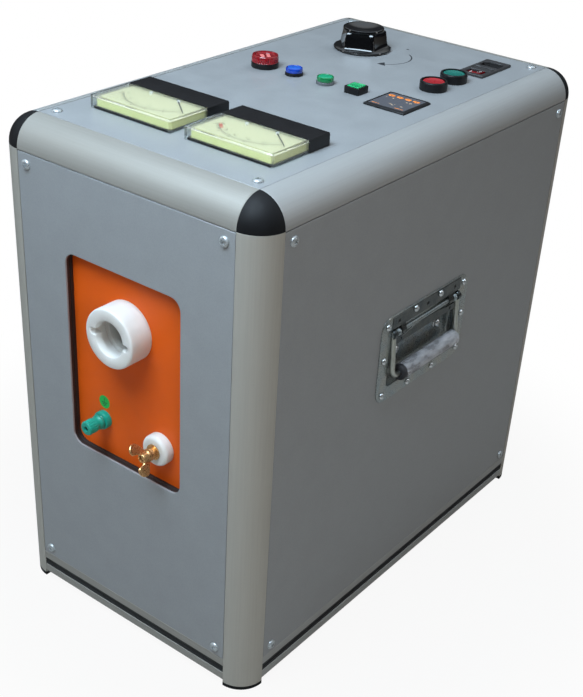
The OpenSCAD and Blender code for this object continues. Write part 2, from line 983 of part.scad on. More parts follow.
// The bail at rest; its rod and hinge plate lie in a plane through the pin
module bail_form() {
    straight = bail_reach - bend_r;
    translate([0, hinge_up, hinge_in])
        rotate([-bail_rest, 0, 0])
            difference() {
                union() {
                    for (x = [-1, 1]) {
                        translate([x * arm_x, 0, 0])
                            rotate([0, 90, 0])
                                cylinder(d = eye_d, h = bail_d - 0.8, center = true);
                        translate([x * arm_x, -1, 0])
                            rotate([90, 0, 0])
                                cylinder(d = bail_d, h = straight - 1);
                    }
                    for (x = [0, 1])
                        mirror([x, 0, 0])
                            translate([arm_x - bend_r, -straight, 0])
                                rotate([0, 0, -90])
                                    rotate_extrude(angle = 90)
                                        translate([bend_r, 0])
                                            circle(d = bail_d);
                    translate([0, -bail_reach, 0])
                        rotate([0, 90, 0])
                            cylinder(d = bail_d, h = 2 * (arm_x - bend_r), center = true);
                    translate([-arm_x, -12.5, -0.8])
                        cube([2 * arm_x, 6.5, 1.6]);
                    translate([-26, -9, -0.8])
                        cube([52, 5.4, 1.6]);
                }
                rotate([0, 90, 0])
                    cylinder(d = hinge_pin_d + 2 * run, h = dish_w, center = true);
            }
}

module grip_form()
    translate([0, hinge_up, hinge_in])
        rotate([-bail_rest, 0, 0])
            translate([0, -bail_reach, 0])
                rotate([0, 90, 0])
                    difference() {
                        turned([
                            [0, -grip_len / 2], [grip_d / 2 - 2.5, -grip_len / 2],
                            [grip_d / 2 - 0.7, 1 - grip_len / 2], [grip_d / 2, 3 - grip_len / 2],
                            [grip_d / 2, grip_len / 2 - 3], [grip_d / 2 - 0.7, grip_len / 2 - 1],
                            [grip_d / 2 - 2.5, grip_len / 2], [0, grip_len / 2]
                        ]);
                        rod(bail_d + fit, -grip_len, grip_len);
                    }

module hinge_form()
    translate([0, hinge_up, hinge_in])
        rotate([0, 90, 0]) {
            rod(hinge_pin_d, -arm_x - bail_d / 2 - 0.4, arm_x + bail_d / 2 + 0.4);
            for (side = [-1, 1])
                translate([0, 0, side * (arm_x - bail_d / 2 - 1 - spring_len / 2)])
                    rotate_extrude() {
                        translate([hinge_pin_d / 2 + 0.2, -spring_len / 2])
                            square([0.8, spring_len]);
                        for (k = [0 : 3])
                            translate([hinge_pin_d / 2 + 1.1, (k - 1.5) * spring_len / 4.2])
                                polygon([[-0.7, 0], [0, -0.7], [0.7, 0], [0, 0.7]]);
                    }
        }

module right_side()
    on_right(handle_y, handle_z)
        children();

module left_side()
    mirror([1, 0, 0])
        right_side()
            children();

module right_handle_dish()
    color("#a9afae")
        right_side()
            dish_form();

module left_handle_dish()
    color("#a9afae")
        left_side()
            dish_form();

module right_bail()
    color("#c2c3bb")
        right_side()
            bail_form();

module left_bail()
    color("#c2c3bb")
        left_side()
            bail_form();

module right_grip()
    color("#3a3a3e")
        right_side()
            grip_form();

module left_grip()
    color("#3a3a3e")
        left_side()
            grip_form();

module handle_hinges()
    color("#b3b5af") {
        right_side()
            hinge_form();
        left_side()
            hinge_form();
    }

// Meters, drawn with X along the meter, the joint between clear and black part at Y = 0
module at_meter(side)
    at_top(meter_mid_x + side * meter_pitch / 2, -meter_joint_y)
        children();

module meter_housing() {
    inner_w = meter_w - 2 * meter_wall - 2 * run;
    inner_from = meter_wall + run - clear_d;
    difference() {
        union() {
            translate([-inner_w / 2, inner_from, 0])
                cube([inner_w, band_d - meter_wall - run - inner_from, meter_base_t]);
            translate([1 - meter_w / 2, run, 0])
                cube([meter_w - 2, band_d - 1 - run, meter_base_t]);
            translate([0, can_y, 0])
                rod(can_d, -can_depth, 1);
        }
        translate([0, can_y, 0])
            rod(can_d - 5, 2.5 - can_depth, meter_base_t + 1);
    }
    difference() {
        translate([-can_d / 2 + 2, pivot_back - 4, meter_base_t - 2.5])
            cube([can_d - 4, 8, 2.5]);
        translate([0, pivot_back, 0])
            rod(staff_d + 2 * fit, -5, 5);
    }
    translate([0, pivot_back, 0])
        difference() {
            rod(9, 2 - can_depth, -24);
            rod(staff_d + 2 * fit, -26, -20);
        }
}

module meter_band()
    difference() {
        rotate([90, 0, 90])
            linear_extrude(meter_w, center = true)
                difference() {
                    polygon([
                        [fit, 0], [band_d, 0], [band_d, meter_h - 3], [band_d - 2.4, meter_h - 0.4],
                        [band_d - 3.4, meter_h], [fit, meter_h]
                    ]);
                }
        rotate([90, 0, 90])
            linear_extrude(meter_w - 2 * meter_wall, center = true)
                polygon([
                    [-1, -1], [band_d - meter_wall, -1], [band_d - meter_wall, meter_h - 3.6],
                    [band_d - 4.4, meter_h - meter_roof_t], [-1, meter_h - meter_roof_t]
                ]);
        translate([0, zero_back, 0])
            rod(zero_head_d + 2 * run, 0, meter_h + 1);
    }

module meter_housings()
    color("#1b1b1d")
        for (side = [-1, 1])
            at_meter(side) {
                meter_housing();
                meter_band();
            }

module meter_cover()
    difference() {
        translate([-meter_w / 2, -clear_d, 0])
            cube([meter_w, clear_d, meter_h]);
        translate([meter_wall - meter_w / 2, meter_wall - clear_d, -1])
            cube([meter_w - 2 * meter_wall, clear_d, meter_h - meter_roof_t + 1]);
    }

module meter_covers()
    color("#dfe8e8", 0.35)
        for (side = [-1, 1])
            at_meter(side)
                meter_cover();

module meter_dial() {
    dial_w = meter_w - 2 * meter_wall - 5;
    dial_from = meter_wall + 2.5 - clear_d;
    dial_to = pivot_back + 4;
    difference() {
        translate([-dial_w / 2, dial_from, meter_base_t])
            cube([dial_w, dial_to - dial_from, dial_face - meter_base_t]);
        translate([dial_t - dial_w / 2, dial_from + dial_t, meter_base_t - 1])
            cube([dial_w - 2 * dial_t, dial_to - dial_from, dial_face - dial_t - meter_base_t + 1]);
        translate([0, pivot_back, 0])
            rod(2 * pivot_hole_r, 0, dial_face + 1);
    }
}

module meter_dials()
    color("#dfe7b4")
        for (side = [-1, 1])
            at_meter(side)
                meter_dial();

module meter_magnets()
    color("#6f7274")
        for (side = [-1, 1])
            at_meter(side)
                translate([0, pivot_back, 0])
                    ring(magnet_d, magnet_bore, 2.5 - can_depth, meter_base_t - 6);

module pointer_form()
    translate([0, pivot_back, 0]) {
        rod(staff_d, staff_low, pointer_z + 1);
        rod(pointer_boss_d, pointer_z - 0.4, pointer_z + 0.8);
        rotate([0, 0, rest_angle]) {
            translate([0, 0, pointer_z])
                linear_extrude(0.5)
                    polygon([
                        [-tail_len, -1.4], [4 - tail_len, -1.4], [5 - tail_len, -0.6], [0, -0.7],
                        [pointer_len - 6, -0.4], [pointer_len, -0.1], [pointer_len, 0.1],
                        [pointer_len - 6, 0.4], [0, 0.7], [5 - tail_len, 0.6], [4 - tail_len, 1.4],
                        [-tail_len, 1.4]
                    ]);
            difference() {
                translate([-coil_w / 2, -coil_d / 2, coil_low])
                    cube([coil_w, coil_d, coil_h]);
                translate([coil_t - coil_w / 2, -coil_d / 2 - 1, coil_low + coil_t])
                    cube([coil_w - 2 * coil_t, coil_d + 2, coil_h - 2 * coil_t]);
            }
        }
    }

module output_pointer()
    color("#222222")
        at_meter(1)
            pointer_form();

module leakage_pointer()
    color("#222222")
        at_meter(-1)
            pointer_form();

module zero_screw_form()
    translate([0, zero_back, 0]) {
        difference() {
            rod(zero_head_d, meter_h - meter_roof_t - 0.5, meter_h - 0.4);
            translate([-zero_head_d / 2, -0.5, meter_h - 1.4])
                cube([zero_head_d, 1, 2]);
        }
        rod(zero_head_d + 2, pointer_z + 0.85, meter_h - meter_roof_t - 0.25);
    }

module output_zero_screw()
    color("#18181a")
        at_meter(1)
            zero_screw_form();

module leakage_zero_screw()
    color("#18181a")
        at_meter(-1)
            zero_screw_form();

// Lamps, key and buttons
module panel_nut(thread)
    difference() {
        translate([0, 0, -panel_t - nut_t])
            cylinder(d = thread + 8, h = nut_t, $fn = 6);
        rod(thread + fit, -panel_t - nut_t - 1, 0);
    }

module lamp_collar(d, thread, h, depth, bore) {
    difference() {
        turned([
            [0, -depth], [thread / 2, -depth], [thread / 2, 0], [d / 2, 0], [d / 2 - 0.2, h - 0.8],
            [d / 2 - 1, h], [0, h]
        ]);
        rod(bore, 4 - depth, h + 1);
    }
    panel_nut(thread);
}

module beacon_lens_form(d) {
    difference() {
        turned([
            [0, 1], [barrel_large / 2 - 1.6, 1], [barrel_large / 2 - 1.6, 5.6], [d / 2 - 0.3, 5.6],
            [d / 2 - 0.5, 10.2], [d / 2 - 0.8, 12.3], [d / 2 - 1.4, 12.9], [0, 12.9]
        ]);
        rod(barrel_large - 6, 0, 10);
        ring(d - 11, d - 14, 11.6, 14);
        rod(d - 17, 11.2, 14);
    }
}

module small_lens_form(d)
    difference() {
        turned([
            [0, 0.5], [barrel_small / 2 - 1.4, 0.5], [barrel_small / 2 - 1.4, 3.3], [d / 2 - 0.5, 3.3],
            [d / 2 - 0.7, 6.2], [d / 2 - 1.6, 7.4], [d / 2 - 3.4, 7.8], [0, 7.8]
        ]);
        rod(barrel_small - 6, 0, 6);
    }

key_stem_h = 9;
module key_body() {
    difference() {
        union() {
            bevelled_slab(key_side, key_side, 0, 7, 0.5);
            rod(barrel_small, -barrel_depth, 0.5);
        }
        slab(key_side - 3, key_side - 3, 3.2, 9);
        rod(barrel_small - 4, -lamp_depth, key_stem_h);
    }
    panel_nut(barrel_small);
}

module lamp_bodies()
    color("#1b1b1d") {
        at_top(beacon_x, row_y)
            lamp_collar(beacon_d, barrel_large, 5.5, barrel_depth, barrel_large - 3);
        at_top(blue_x, row_y)
            lamp_collar(lamp_d, barrel_small, 3.2, lamp_depth, barrel_small - 2.6);
        at_top(key_x, row_y)
            key_body();
    }

module beacon_lens()
    color("#a3101c")
        at_top(beacon_x, row_y)
            beacon_lens_form(beacon_d);

module blue_lens()
    color("#1848b8")
        at_top(blue_x, row_y)
            small_lens_form(lamp_d);

module green_lamp_collar()
    color("#5d6264")
        at_top(green_x, row_y)
            lamp_collar(lamp_d, barrel_small, 3.2, lamp_depth, barrel_small - 2.6);

module green_lens()
    color("#12904a")
        at_top(green_x, row_y)
            small_lens_form(lamp_d);

module square_key_cap()
    color("#16a052")
        at_top(key_x, row_y) {
            bevelled_slab(key_side - 3 - 2 * run, key_side - 3 - 2 * run, 3.2 + key_travel + run, 7.8, 0.5);
            rod(barrel_small - 5, -14, 3.3 + key_travel + run);
        }

module button_bezel() {
    difference() {
        turned([
            [0, -bezel_depth], [barrel_large / 2, -bezel_depth], [barrel_large / 2, 0], [button_d / 2, 0],
            [button_d / 2 - 0.4, bezel_h - 1.1], [button_d / 2 - 1.2, bezel_h], [0, bezel_h]
        ]);
        rod(button_d - 2 * bezel_rim, bezel_floor, bezel_h + 1);
        rod(barrel_large - 6, -bezel_depth - 1, bezel_h + 1);
    }
    panel_nut(barrel_large);
}

module button_bezels()
    color("#1a1a1c")
        for (y = [red_button_y, green_button_y])
            at_top(button_x, y)
                button_bezel();

module button_form() {
    low = bezel_floor + button_travel + run;
    cap_r = button_d / 2 - bezel_rim - run;
    turned([
        [0, 8 - bezel_depth], [4, 8 - bezel_depth], [4, low], [cap_r, low], [cap_r, bezel_cap_h - 0.6],
        [cap_r - 0.7, bezel_cap_h], [0, bezel_cap_h]
    ]);
}

module red_button()
    color("#c01a24")
        at_top(button_x, red_button_y)
            button_form();

module green_button()
    color("#138a4c")
        at_top(button_x, green_button_y)
            button_form();

module contact_blocks()
    color("#5c6063")
        for (y = [red_button_y, green_button_y])
            at_top(button_x, y)
                difference() {
                    slab(block_side, block_side + 2, -bezel_depth - block_side, -bezel_depth);
                    rod(8 + 2 * run, -bezel_depth - 8, 2 - bezel_depth);
                    for (side = [-1, 1])
                        translate([side * 10, 0, 0])
                            slab(3, 14, -bezel_depth - block_side - 1, -bezel_depth - 20);
                }

// Timer
module timer_case()
    color("#1a1a1c")
        at_top(timer_x, row_y) {
            difference() {
                bevelled_slab(timer_side, timer_side, 0, 2.6, 1.4);
                slab(timer_side - 6, timer_side - 6, 1.6, 4);
            }
            slab(timer_side - 3.4, timer_side - 3.4, -case_depth, eps);
            difference() {
                slab(timer_side - 1, timer_side + 4, -16, -panel_t);
                slab(timer_side - 3.2, timer_side - 3.2, -17, 0);
            }
        }

module timer_face()
    color("#4c5157")
        at_top(timer_x, row_y) {
            slab(timer_side - 6.4, timer_side - 6.4, 1.6, 2.2);
            for (k = [0 : 3])
                translate([-14.6 + k * 9.6, 12.6, 0])
                    slab(7, 4.6, 2.1, 2.6, 2);
        }

// Mains inlet
module at_inlet()
    at_top(inlet_x, inlet_y)
        children();

module inlet_housing()
    color("#1a1a1c")
        at_inlet()
            difference() {
                union() {
                    bevelled_slab(inlet_w, inlet_len, 0, 2.6, 0.8);
                    slab(inlet_body_w, inlet_body_len, -inlet_depth, eps);
                }
                translate([0, rocker_y, 0])
                    slab(19.6, 13.2, -16, 4);
                translate([0, drawer_y, 0])
                    slab(23.6, 8, -28, 4);
                translate([0, socket_y, 0])
                    slab(24.2, 16.6, -socket_depth, 4, 2);
            }

module inlet_pins()
    color("#c8c4b6")
        at_inlet()
            translate([0, socket_y, 0])
                for (pin = [[-7, -2], [7, -2], [0, 2]])
                    translate(pin) {
                        slab(2, 4, -socket_depth, -4.5);
                        slab(0.8, 4, -inlet_depth - 8, -inlet_depth);
                    }

module rocker_switch()
    color("#b3151c")
        at_inlet()
            translate([0, rocker_y, -4.2])
                rotate([0, -rocker_tilt, 0])
                    rotate([90, 0, 0])
                        linear_extrude(12.4, center = true) {
                            circle(r = 6.2);
                            polygon([[-8.6, 3.2], [-5.4, -3], [5.4, -3], [8.6, 3.2], [8.6, 5.8], [0, 4.4], [-8.6, 5.8]]);
                        }

module fuse_drawer()
    color("#1f1f22")
        at_inlet()
            translate([0, drawer_y, 0]) {
                difference() {
                    slab(23, 7.4, -25, 2.2);
                    translate([0, 0, -13])
                        cube([20.8, 5.6, 21], center = true);
                }
                translate([0, 3.2, 1.7])
                    slab(8, 1, 0, 1.2);
            }

// Knob and variable transformer
module at_knob()
    at_top(knob_x, knob_y)
        children();

module knob_lobes() {
    taper = knob_body_r - 25;
    shoulder = knob_h - 3;
    difference() {
        turned([
            [0, knob_foot - 1], [knob_body_r, knob_foot - 1], [knob_body_r, knob_foot + 0.6],
            [knob_body_r - taper, shoulder - 1.6], [knob_body_r - taper - 1, shoulder - 0.4],
            [knob_top_r, shoulder - 0.1], [0, shoulder - 0.1]
        ]);
        for (k = [0 : lobes - 1])
            rotate([0, 0, lobe_turn + 36 + k * 360 / lobes])
                translate([knob_body_r - 5, 0, knob_foot])
                    rotate([0, -11, 0])
                        translate([58.8, 0, -20])
                            cylinder(r = 58.8, h = 60);
    }
}

module voltage_knob()
    color("#141416")
        at_knob()
            difference() {
                union() {
                    turned([
                        [0, skirt_z], [knob_d / 2 - 0.8, skirt_z], [knob_d / 2, skirt_z + 0.8],
                        [knob_d / 2 - 0.2, skirt_z + 2], [knob_d / 2 - 1.4, skirt_z + 2.9],
                        [knob_body_r - 2, knob_foot + 0.3], [0, knob_foot + 0.3]
                    ]);
                    knob_lobes();
                    turned([
                        [0, knob_h - 4], [knob_top_r, knob_h - 4], [knob_top_r, knob_h - 0.9],
                        [knob_top_r - 0.9, knob_h], [0, knob_h]
                    ]);
                }
                translate([0, 0, knob_h + 49])
                    sphere(r = 52.2);
                rod(shaft_d + fit, 0, knob_h - 7);
                ring(2 * knob_body_r - 8, shaft_d + 10, -1, knob_foot - 1.2);
            }

bearing_drop = 20;
plate_z = -panel_t - bearing_drop;
toroid_gap = 8;
toroid_top = plate_z - toroid_gap;
hub_wall = 6;
arm_w = 12;
toroid_low = toroid_top - toroid_h;
arm_top = toroid_low - 6;

module variac_rotor()
    color("#a8a9a3")
        at_knob() {
            rod(shaft_d, arm_top - rotor_boss, knob_h - 7.2);
            rod(shaft_d + 2 * hub_wall, arm_top - rotor_boss + 4, arm_top - 1);
            difference() {
                translate([0, -arm_w / 2, arm_top - 7])
                    cube([toroid_d / 2 - 8, arm_w, 5]);
                rod(shaft_d, arm_top - 10, arm_top);
            }
            translate([toroid_d / 2 - 18, -4, arm_top - 3])
                cube([9, 8, toroid_low - run - arm_top + 3]);
        }

module variac_core()
    at_knob() {
        color("#8f9290")
            difference() {
                union() {
                    rod(toroid_d - 34, plate_z - 5, plate_z);
                    for (turn = [30, 150, 270])
                        rotate([0, 0, turn])
                            translate([toroid_d / 2 - 26, 0, 0])
                                rod(10, plate_z - 1, -panel_t);
                    rod(shaft_d + 12, toroid_low - 4, plate_z);
                    rod(toroid_d / 2, toroid_low - 4, toroid_low);
                }
                rod(shaft_d + 2 * fit, toroid_low - 10, plate_z + 5);
            }
        color("#b0622d")
            rotate_extrude()
                difference() {
                    translate([toroid_d / 4 + toroid_d / 8 - 1, (toroid_top + toroid_low) / 2 + 1.5])
                        rounded_rect(toroid_d / 4 + 2, toroid_h + 3, 5);
                    translate([0, toroid_low - 5])
                        square([toroid_d, 5]);
                }
    }

// High-voltage transformer
core_w = 150;
limb = 34;
core_t = 50;
block_w = 116;
block_d = 120;
block_in = 160;
core_y = block_in + block_d / 2 - half_d;
rotor_boss = 16;
pcb_w = 150;
pcb_d = 110;
pcb_t = 1.6;
pcb_lift = 12;
pcb_x = 20;
pcb_in = 120;
pcb_post_x = pcb_w / 2 - 7;
pcb_post_y = pcb_d / 2 - 7;
pcb_face = pcb_lift + pcb_t;
relay_w = 20;
relay_h = 16;
relay_pitch = 30;

module hv_transformer_core()
    color("#5a5d60")
        translate([0, core_y, tray_z + tray_t])
            rotate([90, 0, 0])
                linear_extrude(core_t, center = true)
                    difference() {
                        translate([-core_w / 2, 0])
                            square([core_w, core_w]);
                        translate([limb - core_w / 2, limb])
                            square([core_w - 2 * limb, core_w - 2 * limb]);
                    }

module hv_block()
    color("#5b2f22")
        translate([0, core_y, tray_z + tray_t])
            difference() {
                union() {
                    slab(core_w - 2 * limb - 1, block_d, limb + 6, core_w + 1);
                    slab(block_w, block_d, core_w + 0.2, bush_z - tray_z - tray_t + 30, 10);
                }
                translate([0, 0, core_w - limb / 2])
                    cube([core_w + 10, core_t + 0.4, limb + 0.4], center = true);
                translate([bush_x, 0, bush_z - tray_z - tray_t])
                    rotate([90, 0, 0])
                        rod(contact_d, 0, block_d);
            }

module control_board()
    translate([pcb_x, half_d - pcb_in, tray_z + tray_t]) {
        color("#2f6b3c")
            slab(pcb_w, pcb_d, pcb_lift, pcb_face);
        color("#b9bab4")
            four_corners(pcb_post_x, pcb_post_y)
                rod(6, 0, pcb_lift);
        color("#d8d6cc")
            for (k = [0 : 2])
                translate([k * relay_pitch - pcb_w / 3, pcb_d / 5, pcb_face])
                    slab(relay_w, relay_w + 8, 0, relay_h);
        color("#3c3f44")
            translate([pcb_w * 0.32, 0, pcb_face])
                slab(2 * relay_w - 4, 2 * relay_w + 4, 0, 2 * relay_h);
        color("#2b7f4a")
            translate([-relay_w, -pcb_d * 0.4, pcb_face])
                slab(3 * relay_pitch, relay_w / 2, 0, relay_h - 4);
    }

placed() frame_profiles();
placed() bottom_rails();
placed() slot_strips();
placed() frame_caps();
placed() top_panel();
placed() front_panel();
placed() rear_panel();
placed() side_panels();
placed() floor_tray();
placed() panel_fasteners();
placed() window_spacer();
placed() insulating_board();
placed() hv_bush();
placed() hv_bush_nut();
placed() hv_contact();
placed() earth_post_collar();
placed() earth_post_stem();
placed() earth_post_ring();
placed() earth_post_head();
placed() stud_insulator();
placed() return_stud();
placed() wing_washer();
placed() wing_nut();
placed() right_handle_dish();
placed() left_handle_dish();
placed() right_bail();
placed() left_bail();
placed() right_grip();
placed() left_grip();
placed() handle_hinges();
placed() meter_housings();
placed() meter_covers();
placed() meter_dials();
placed() meter_magnets();
placed() output_pointer();
placed() leakage_pointer();
placed() output_zero_screw();
placed() leakage_zero_screw();
placed() lamp_bodies();
placed() beacon_lens();
placed() blue_lens();
placed() green_lamp_collar();
placed() green_lens();
placed() square_key_cap();
placed() button_bezels();
placed() red_button();
placed() green_button();
placed() contact_blocks();
placed() timer_case();
placed() timer_face();
placed() inlet_housing();
placed() inlet_pins();
placed() rocker_switch();
placed() fuse_drawer();
placed() voltage_knob();
placed() variac_rotor();
placed() variac_core();
placed() hv_transformer_core();
placed() hv_block();
placed() control_board();
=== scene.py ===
"""Builds the visible surfaces of a high-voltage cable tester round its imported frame.

Lengths in the shapes are millimetres, as in the part's drawing. Places turn them into metres.
"""

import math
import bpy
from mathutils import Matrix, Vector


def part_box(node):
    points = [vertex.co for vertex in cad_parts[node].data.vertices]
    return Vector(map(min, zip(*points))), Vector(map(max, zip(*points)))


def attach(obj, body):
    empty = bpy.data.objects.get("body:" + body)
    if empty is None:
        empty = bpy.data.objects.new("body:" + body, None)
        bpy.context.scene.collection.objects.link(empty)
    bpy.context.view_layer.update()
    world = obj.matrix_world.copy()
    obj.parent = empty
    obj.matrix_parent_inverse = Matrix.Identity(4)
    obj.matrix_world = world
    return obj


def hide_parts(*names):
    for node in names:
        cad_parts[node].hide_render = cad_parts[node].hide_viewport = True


bl_info = {
    "name": "Cable tester looks",
    "version": (1, 0, 0),
    "blender": (4, 5, 0),
    "location": "3D View > Sidebar > Tester",
    "description": "Builds the visible surfaces of a high-voltage cable tester round its frame",
    "category": "Object",
}

import bmesh
import bpy
from mathutils import Matrix, Vector, noise
from mathutils.geometry import tessellate_polygon

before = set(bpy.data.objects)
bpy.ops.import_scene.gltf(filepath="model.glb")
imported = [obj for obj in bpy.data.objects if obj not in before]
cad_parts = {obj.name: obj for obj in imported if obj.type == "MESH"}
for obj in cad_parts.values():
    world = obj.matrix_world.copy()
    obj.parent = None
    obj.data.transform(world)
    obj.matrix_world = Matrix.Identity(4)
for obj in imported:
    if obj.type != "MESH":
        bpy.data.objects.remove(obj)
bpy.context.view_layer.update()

MM = 0.001

# The cabinet's sizes from the frame's box, and the places of what is on it, from its middle and its foot
CAP_LOW, CAP_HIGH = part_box("frame_caps")
HALF_W = CAP_HIGH.x / MM
HALF_D = (CAP_HIGH.y - CAP_LOW.y) / 2 / MM
MIDDLE_Y = (CAP_HIGH.y + CAP_LOW.y) / 2 / MM
TOP = CAP_HIGH.z / MM
EDGE_R = 28.5
WALL_T = 3.0
PANEL_T = 2.0
PANEL_SEAM = 0.6
PANEL_BEVEL = 0.35
RAIL_LOW, RAIL_TOP = 7.5, 35.5
RAIL_GAP = 0.2
SCREW_IN = 12.0
POST_TOP = TOP - EDGE_R
FOOT_T = 4.0
HANDLE_Y = 271.0 - HALF_D
HANDLE_Z = TOP - 222.5
# Width, height and corner radius
WINDOW = (145.0, 210.5, 12.0)
WINDOW_X = -1.5
WINDOW_Z = TOP - 112.5 - 105.25
BOARD_IN = 10.0
BUSH_X, BUSH_Z = -3.0, TOP - 172.5
SIGN_X, SIGN_Z = -38.1, 265.9
TERMINAL_X, TERMINAL_Z = 38.0, TOP - 285.5
ROW_Y = HALF_D - 253.2
BEACON_X, BLUE_X, GREEN_X, KEY_X, TIMER_X = -78.5, -39.9, 0.0, 38.4, 87.5
BUTTON_X, RED_Y, GREEN_Y = 86.5, HALF_D - 186.0, HALF_D - 147.3
INLET_X, INLET_Y = 88.3, HALF_D - 86.5
KNOB_X, KNOB_Y = -47.8, HALF_D - 120.8
METERS = (("leakage", -57.1), ("output", 60.1))
METER_Y = 121.0 - HALF_D
METER_HOLE_Y = -2.0


# Shapes: a shape is a pair of lists, points in millimetres and faces

def spin(rows, steps=64, ring=False):
    """Turns (radius, height) rows about Z. A radius may be a function of the angle."""
    points, rings, faces = [], [], []
    for radius, height in rows:
        if radius == 0:
            rings.append([len(points)])
            points.append(Vector((0, 0, height)))
            continue
        row = []
        for k in range(steps):
            angle = math.tau * k / steps
            r = radius(angle) if callable(radius) else radius
            row.append(len(points))
            points.append(Vector((r * math.cos(angle), r * math.sin(angle), height)))
        rings.append(row)
    pairs = list(zip(rings, rings[1:]))
    if ring:
        pairs.append((rings[-1], rings[0]))
    for low, high in pairs:
        for k in range(steps):
            a, b = low[k % len(low)], low[(k + 1) % len(low)]
            c, d = high[(k + 1) % len(high)], high[k % len(high)]
            face = tuple(dict.fromkeys((a, b, c, d)))
            if len(face) > 2:
                faces.append(face)
    return points, faces


def wider(radius, by):
    """A radius for each angle, made larger all round."""
    return lambda angle: radius(angle) + by


def rounded(w, h, r, x=0.0, y=0.0, steps=6):
    """A rectangle's outline with round corners, anticlockwise."""
    out = []
    for k, (sx, sy) in enumerate(((1, 1), (-1, 1), (-1, -1), (1, -1))):
        for j in range(steps + 1):
            a = math.pi / 2 * (k + j / steps)
            out.append((x + sx * (w / 2 - r) + r * math.cos(a), y + sy * (h / 2 - r) + r * math.sin(a)))
    return out


def disc(r, x=0.0, y=0.0, steps=28):
    """A circle's outline, anticlockwise."""
    angles = [math.tau * k / steps for k in range(steps)]
    return [(x + r * math.cos(a), y + r * math.sin(a)) for a in angles]


def area(loop):
    """The area inside an outline, below zero where it runs clockwise."""
    return sum(a[0] * b[1] - b[0] * a[1] for a, b in zip(loop, loop[1:] + loop[:1])) / 2


def inset(loop, d):
    """The outline moved by d to its left."""
    out = []
    n = len(loop)
    for k in range(n):
        p, q, s = Vector(loop[k - 1]), Vector(loop[k]), Vector(loop[(k + 1) % n])
        e, f = (q - p), (s - q)
        if e.length < 1e-6 or f.length < 1e-6:
            out.append(tuple(q))
            continue
        e.normalize()
        f.normalize()
        m = Vector((-e.y, e.x)) + Vector((-f.y, f.x))
        scale = d / max(0.35, m.length_squared / 2)
        out.append((q.x + m.x * scale, q.y + m.y * scale))
    return out


def level(outline, z):
    """The outline as points in space, at one height."""
    return [(x, y, z) for x, y in outline]


def plate(outline, holes=(), low=0.0, high=1.0, bevel=0.3, under=0.0):
    """A flat piece with bevelled upper edges, and lower ones where under is set."""
    loops = [list(outline) if area(outline) > 0 else list(outline)[::-1]]
    loops += [list(h)[::-1] if area(h) > 0 else list(h) for h in holes]
    profile = []
    if under:
        profile += [(under, low), (0.0, low + under)]
    else:
        profile += [(0.0, low)]
    if bevel:
        profile += [(0.0, high - bevel), (bevel, high)]
    else:
        profile += [(0.0, high)]
    points, faces, ends = [], [], []
    for d, z in profile:
        start = len(points)
        spans = []
        for loop in loops:
            row = inset(loop, d) if d else loop
            spans.append((len(points), len(row)))
            points += [Vector(p) for p in level(row, z)]
        ends.append((start, spans))
    for (_, lows), (_, highs) in zip(ends, ends[1:]):
        for (a, n), (b, _) in zip(lows, highs):
            faces += [(a + k, a + (k + 1) % n, b + (k + 1) % n, b + k) for k in range(n)]
    for index in (0, -1):
        start, spans = ends[index]
        rows = [[points[a + k] for k in range(n)] for a, n in spans]
        for tri in tessellate_polygon(rows):
            faces.append(tuple(start + i for i in (tri if index else tri[::-1])))
    return points, faces


def loft(loops, caps=True):
    """Joins outlines of equal length, each a list of points in space."""
    points, faces = [], []
    n = len(loops[0])
    for loop in loops:
        points += [Vector(p) for p in loop]
    for k in range(len(loops) - 1):
        a, b = k * n, (k + 1) * n
        faces += [(a + j, a + (j + 1) % n, b + (j + 1) % n, b + j) for j in range(n)]
    if caps:
        faces.append(tuple(range(n))[::-1])
        last = (len(loops) - 1) * n
        faces.append(tuple(range(last, last + n)))
    return points, faces


def stacked(rows, steps, caps=True):
    """Joins round-cornered rectangles: each row is width, height, corner radius, level and middle Y."""
    return loft([level(rounded(w, h, r, 0, y, steps), z) for w, h, r, z, y in rows], caps)


def stacked_squares(rows, steps):
    """Joins round-cornered squares: each row is side, corner radius and level."""
    return stacked([(side, side, r, z, 0) for side, r, z in rows], steps)


def tube(path, radius, steps=12):
    """A round bar along a path, with flat ends."""
    path = [Vector(p) for p in path]
    normal = None
    loops = []
    for k, p in enumerate(path):
        along = path[min(k + 1, len(path) - 1)] - path[max(k - 1, 0)]
        along.normalize()
        if normal is None:
            normal = along.orthogonal().normalized()
        normal = (normal - along * normal.dot(along)).normalized()
        side = along.cross(normal)
        loops.append([p + normal * x + side * y for x, y in disc(radius, steps=steps)])
    return loft(loops)


def ribbon(path, widths, low, high):
    """A flat strip along a plane path, with a width at each point."""
    left, right = [], []
    for k, (x, y) in enumerate(path):
        a, b = Vector(path[max(k - 1, 0)]), Vector(path[min(k + 1, len(path) - 1)])
        t = (b - a).normalized()
        w = widths[k] / 2
        left.append((x - t.y * w, y + t.x * w))
        right.append((x + t.y * w, y - t.x * w))
    return plate(right + left[::-1], low=low, high=high, bevel=0)


def placed_by(matrix, shape):
    """The shape with its points moved by a matrix."""
    return [matrix @ p for p in shape[0]], shape[1]


def moved(shape, x=0.0, y=0.0, z=0.0, turn=Matrix.Identity(4)):
    """The shape, first turned by a matrix and then moved."""
    return placed_by(Matrix.Translation((x, y, z)) @ turn, shape)


def joined(*shapes):
    """Several shapes as one."""
    points, faces = [], []
    for p, f in shapes:
        start = len(points)
        points += p
        faces += [tuple(i + start for i in face) for face in f]
    return points, faces


def turned(angle, axis="Z"):
    """A turn by degrees about an axis."""
    return Matrix.Rotation(math.radians(angle), 4, axis)


def along_x(side=1):
    """Lays a bar along X, with its section's first axis out of the front or the rear."""
    return Matrix(((0, 0, 1, 0), (side, 0, 0, 0), (0, 1, 0, 0), (0, 0, 0, 1)))


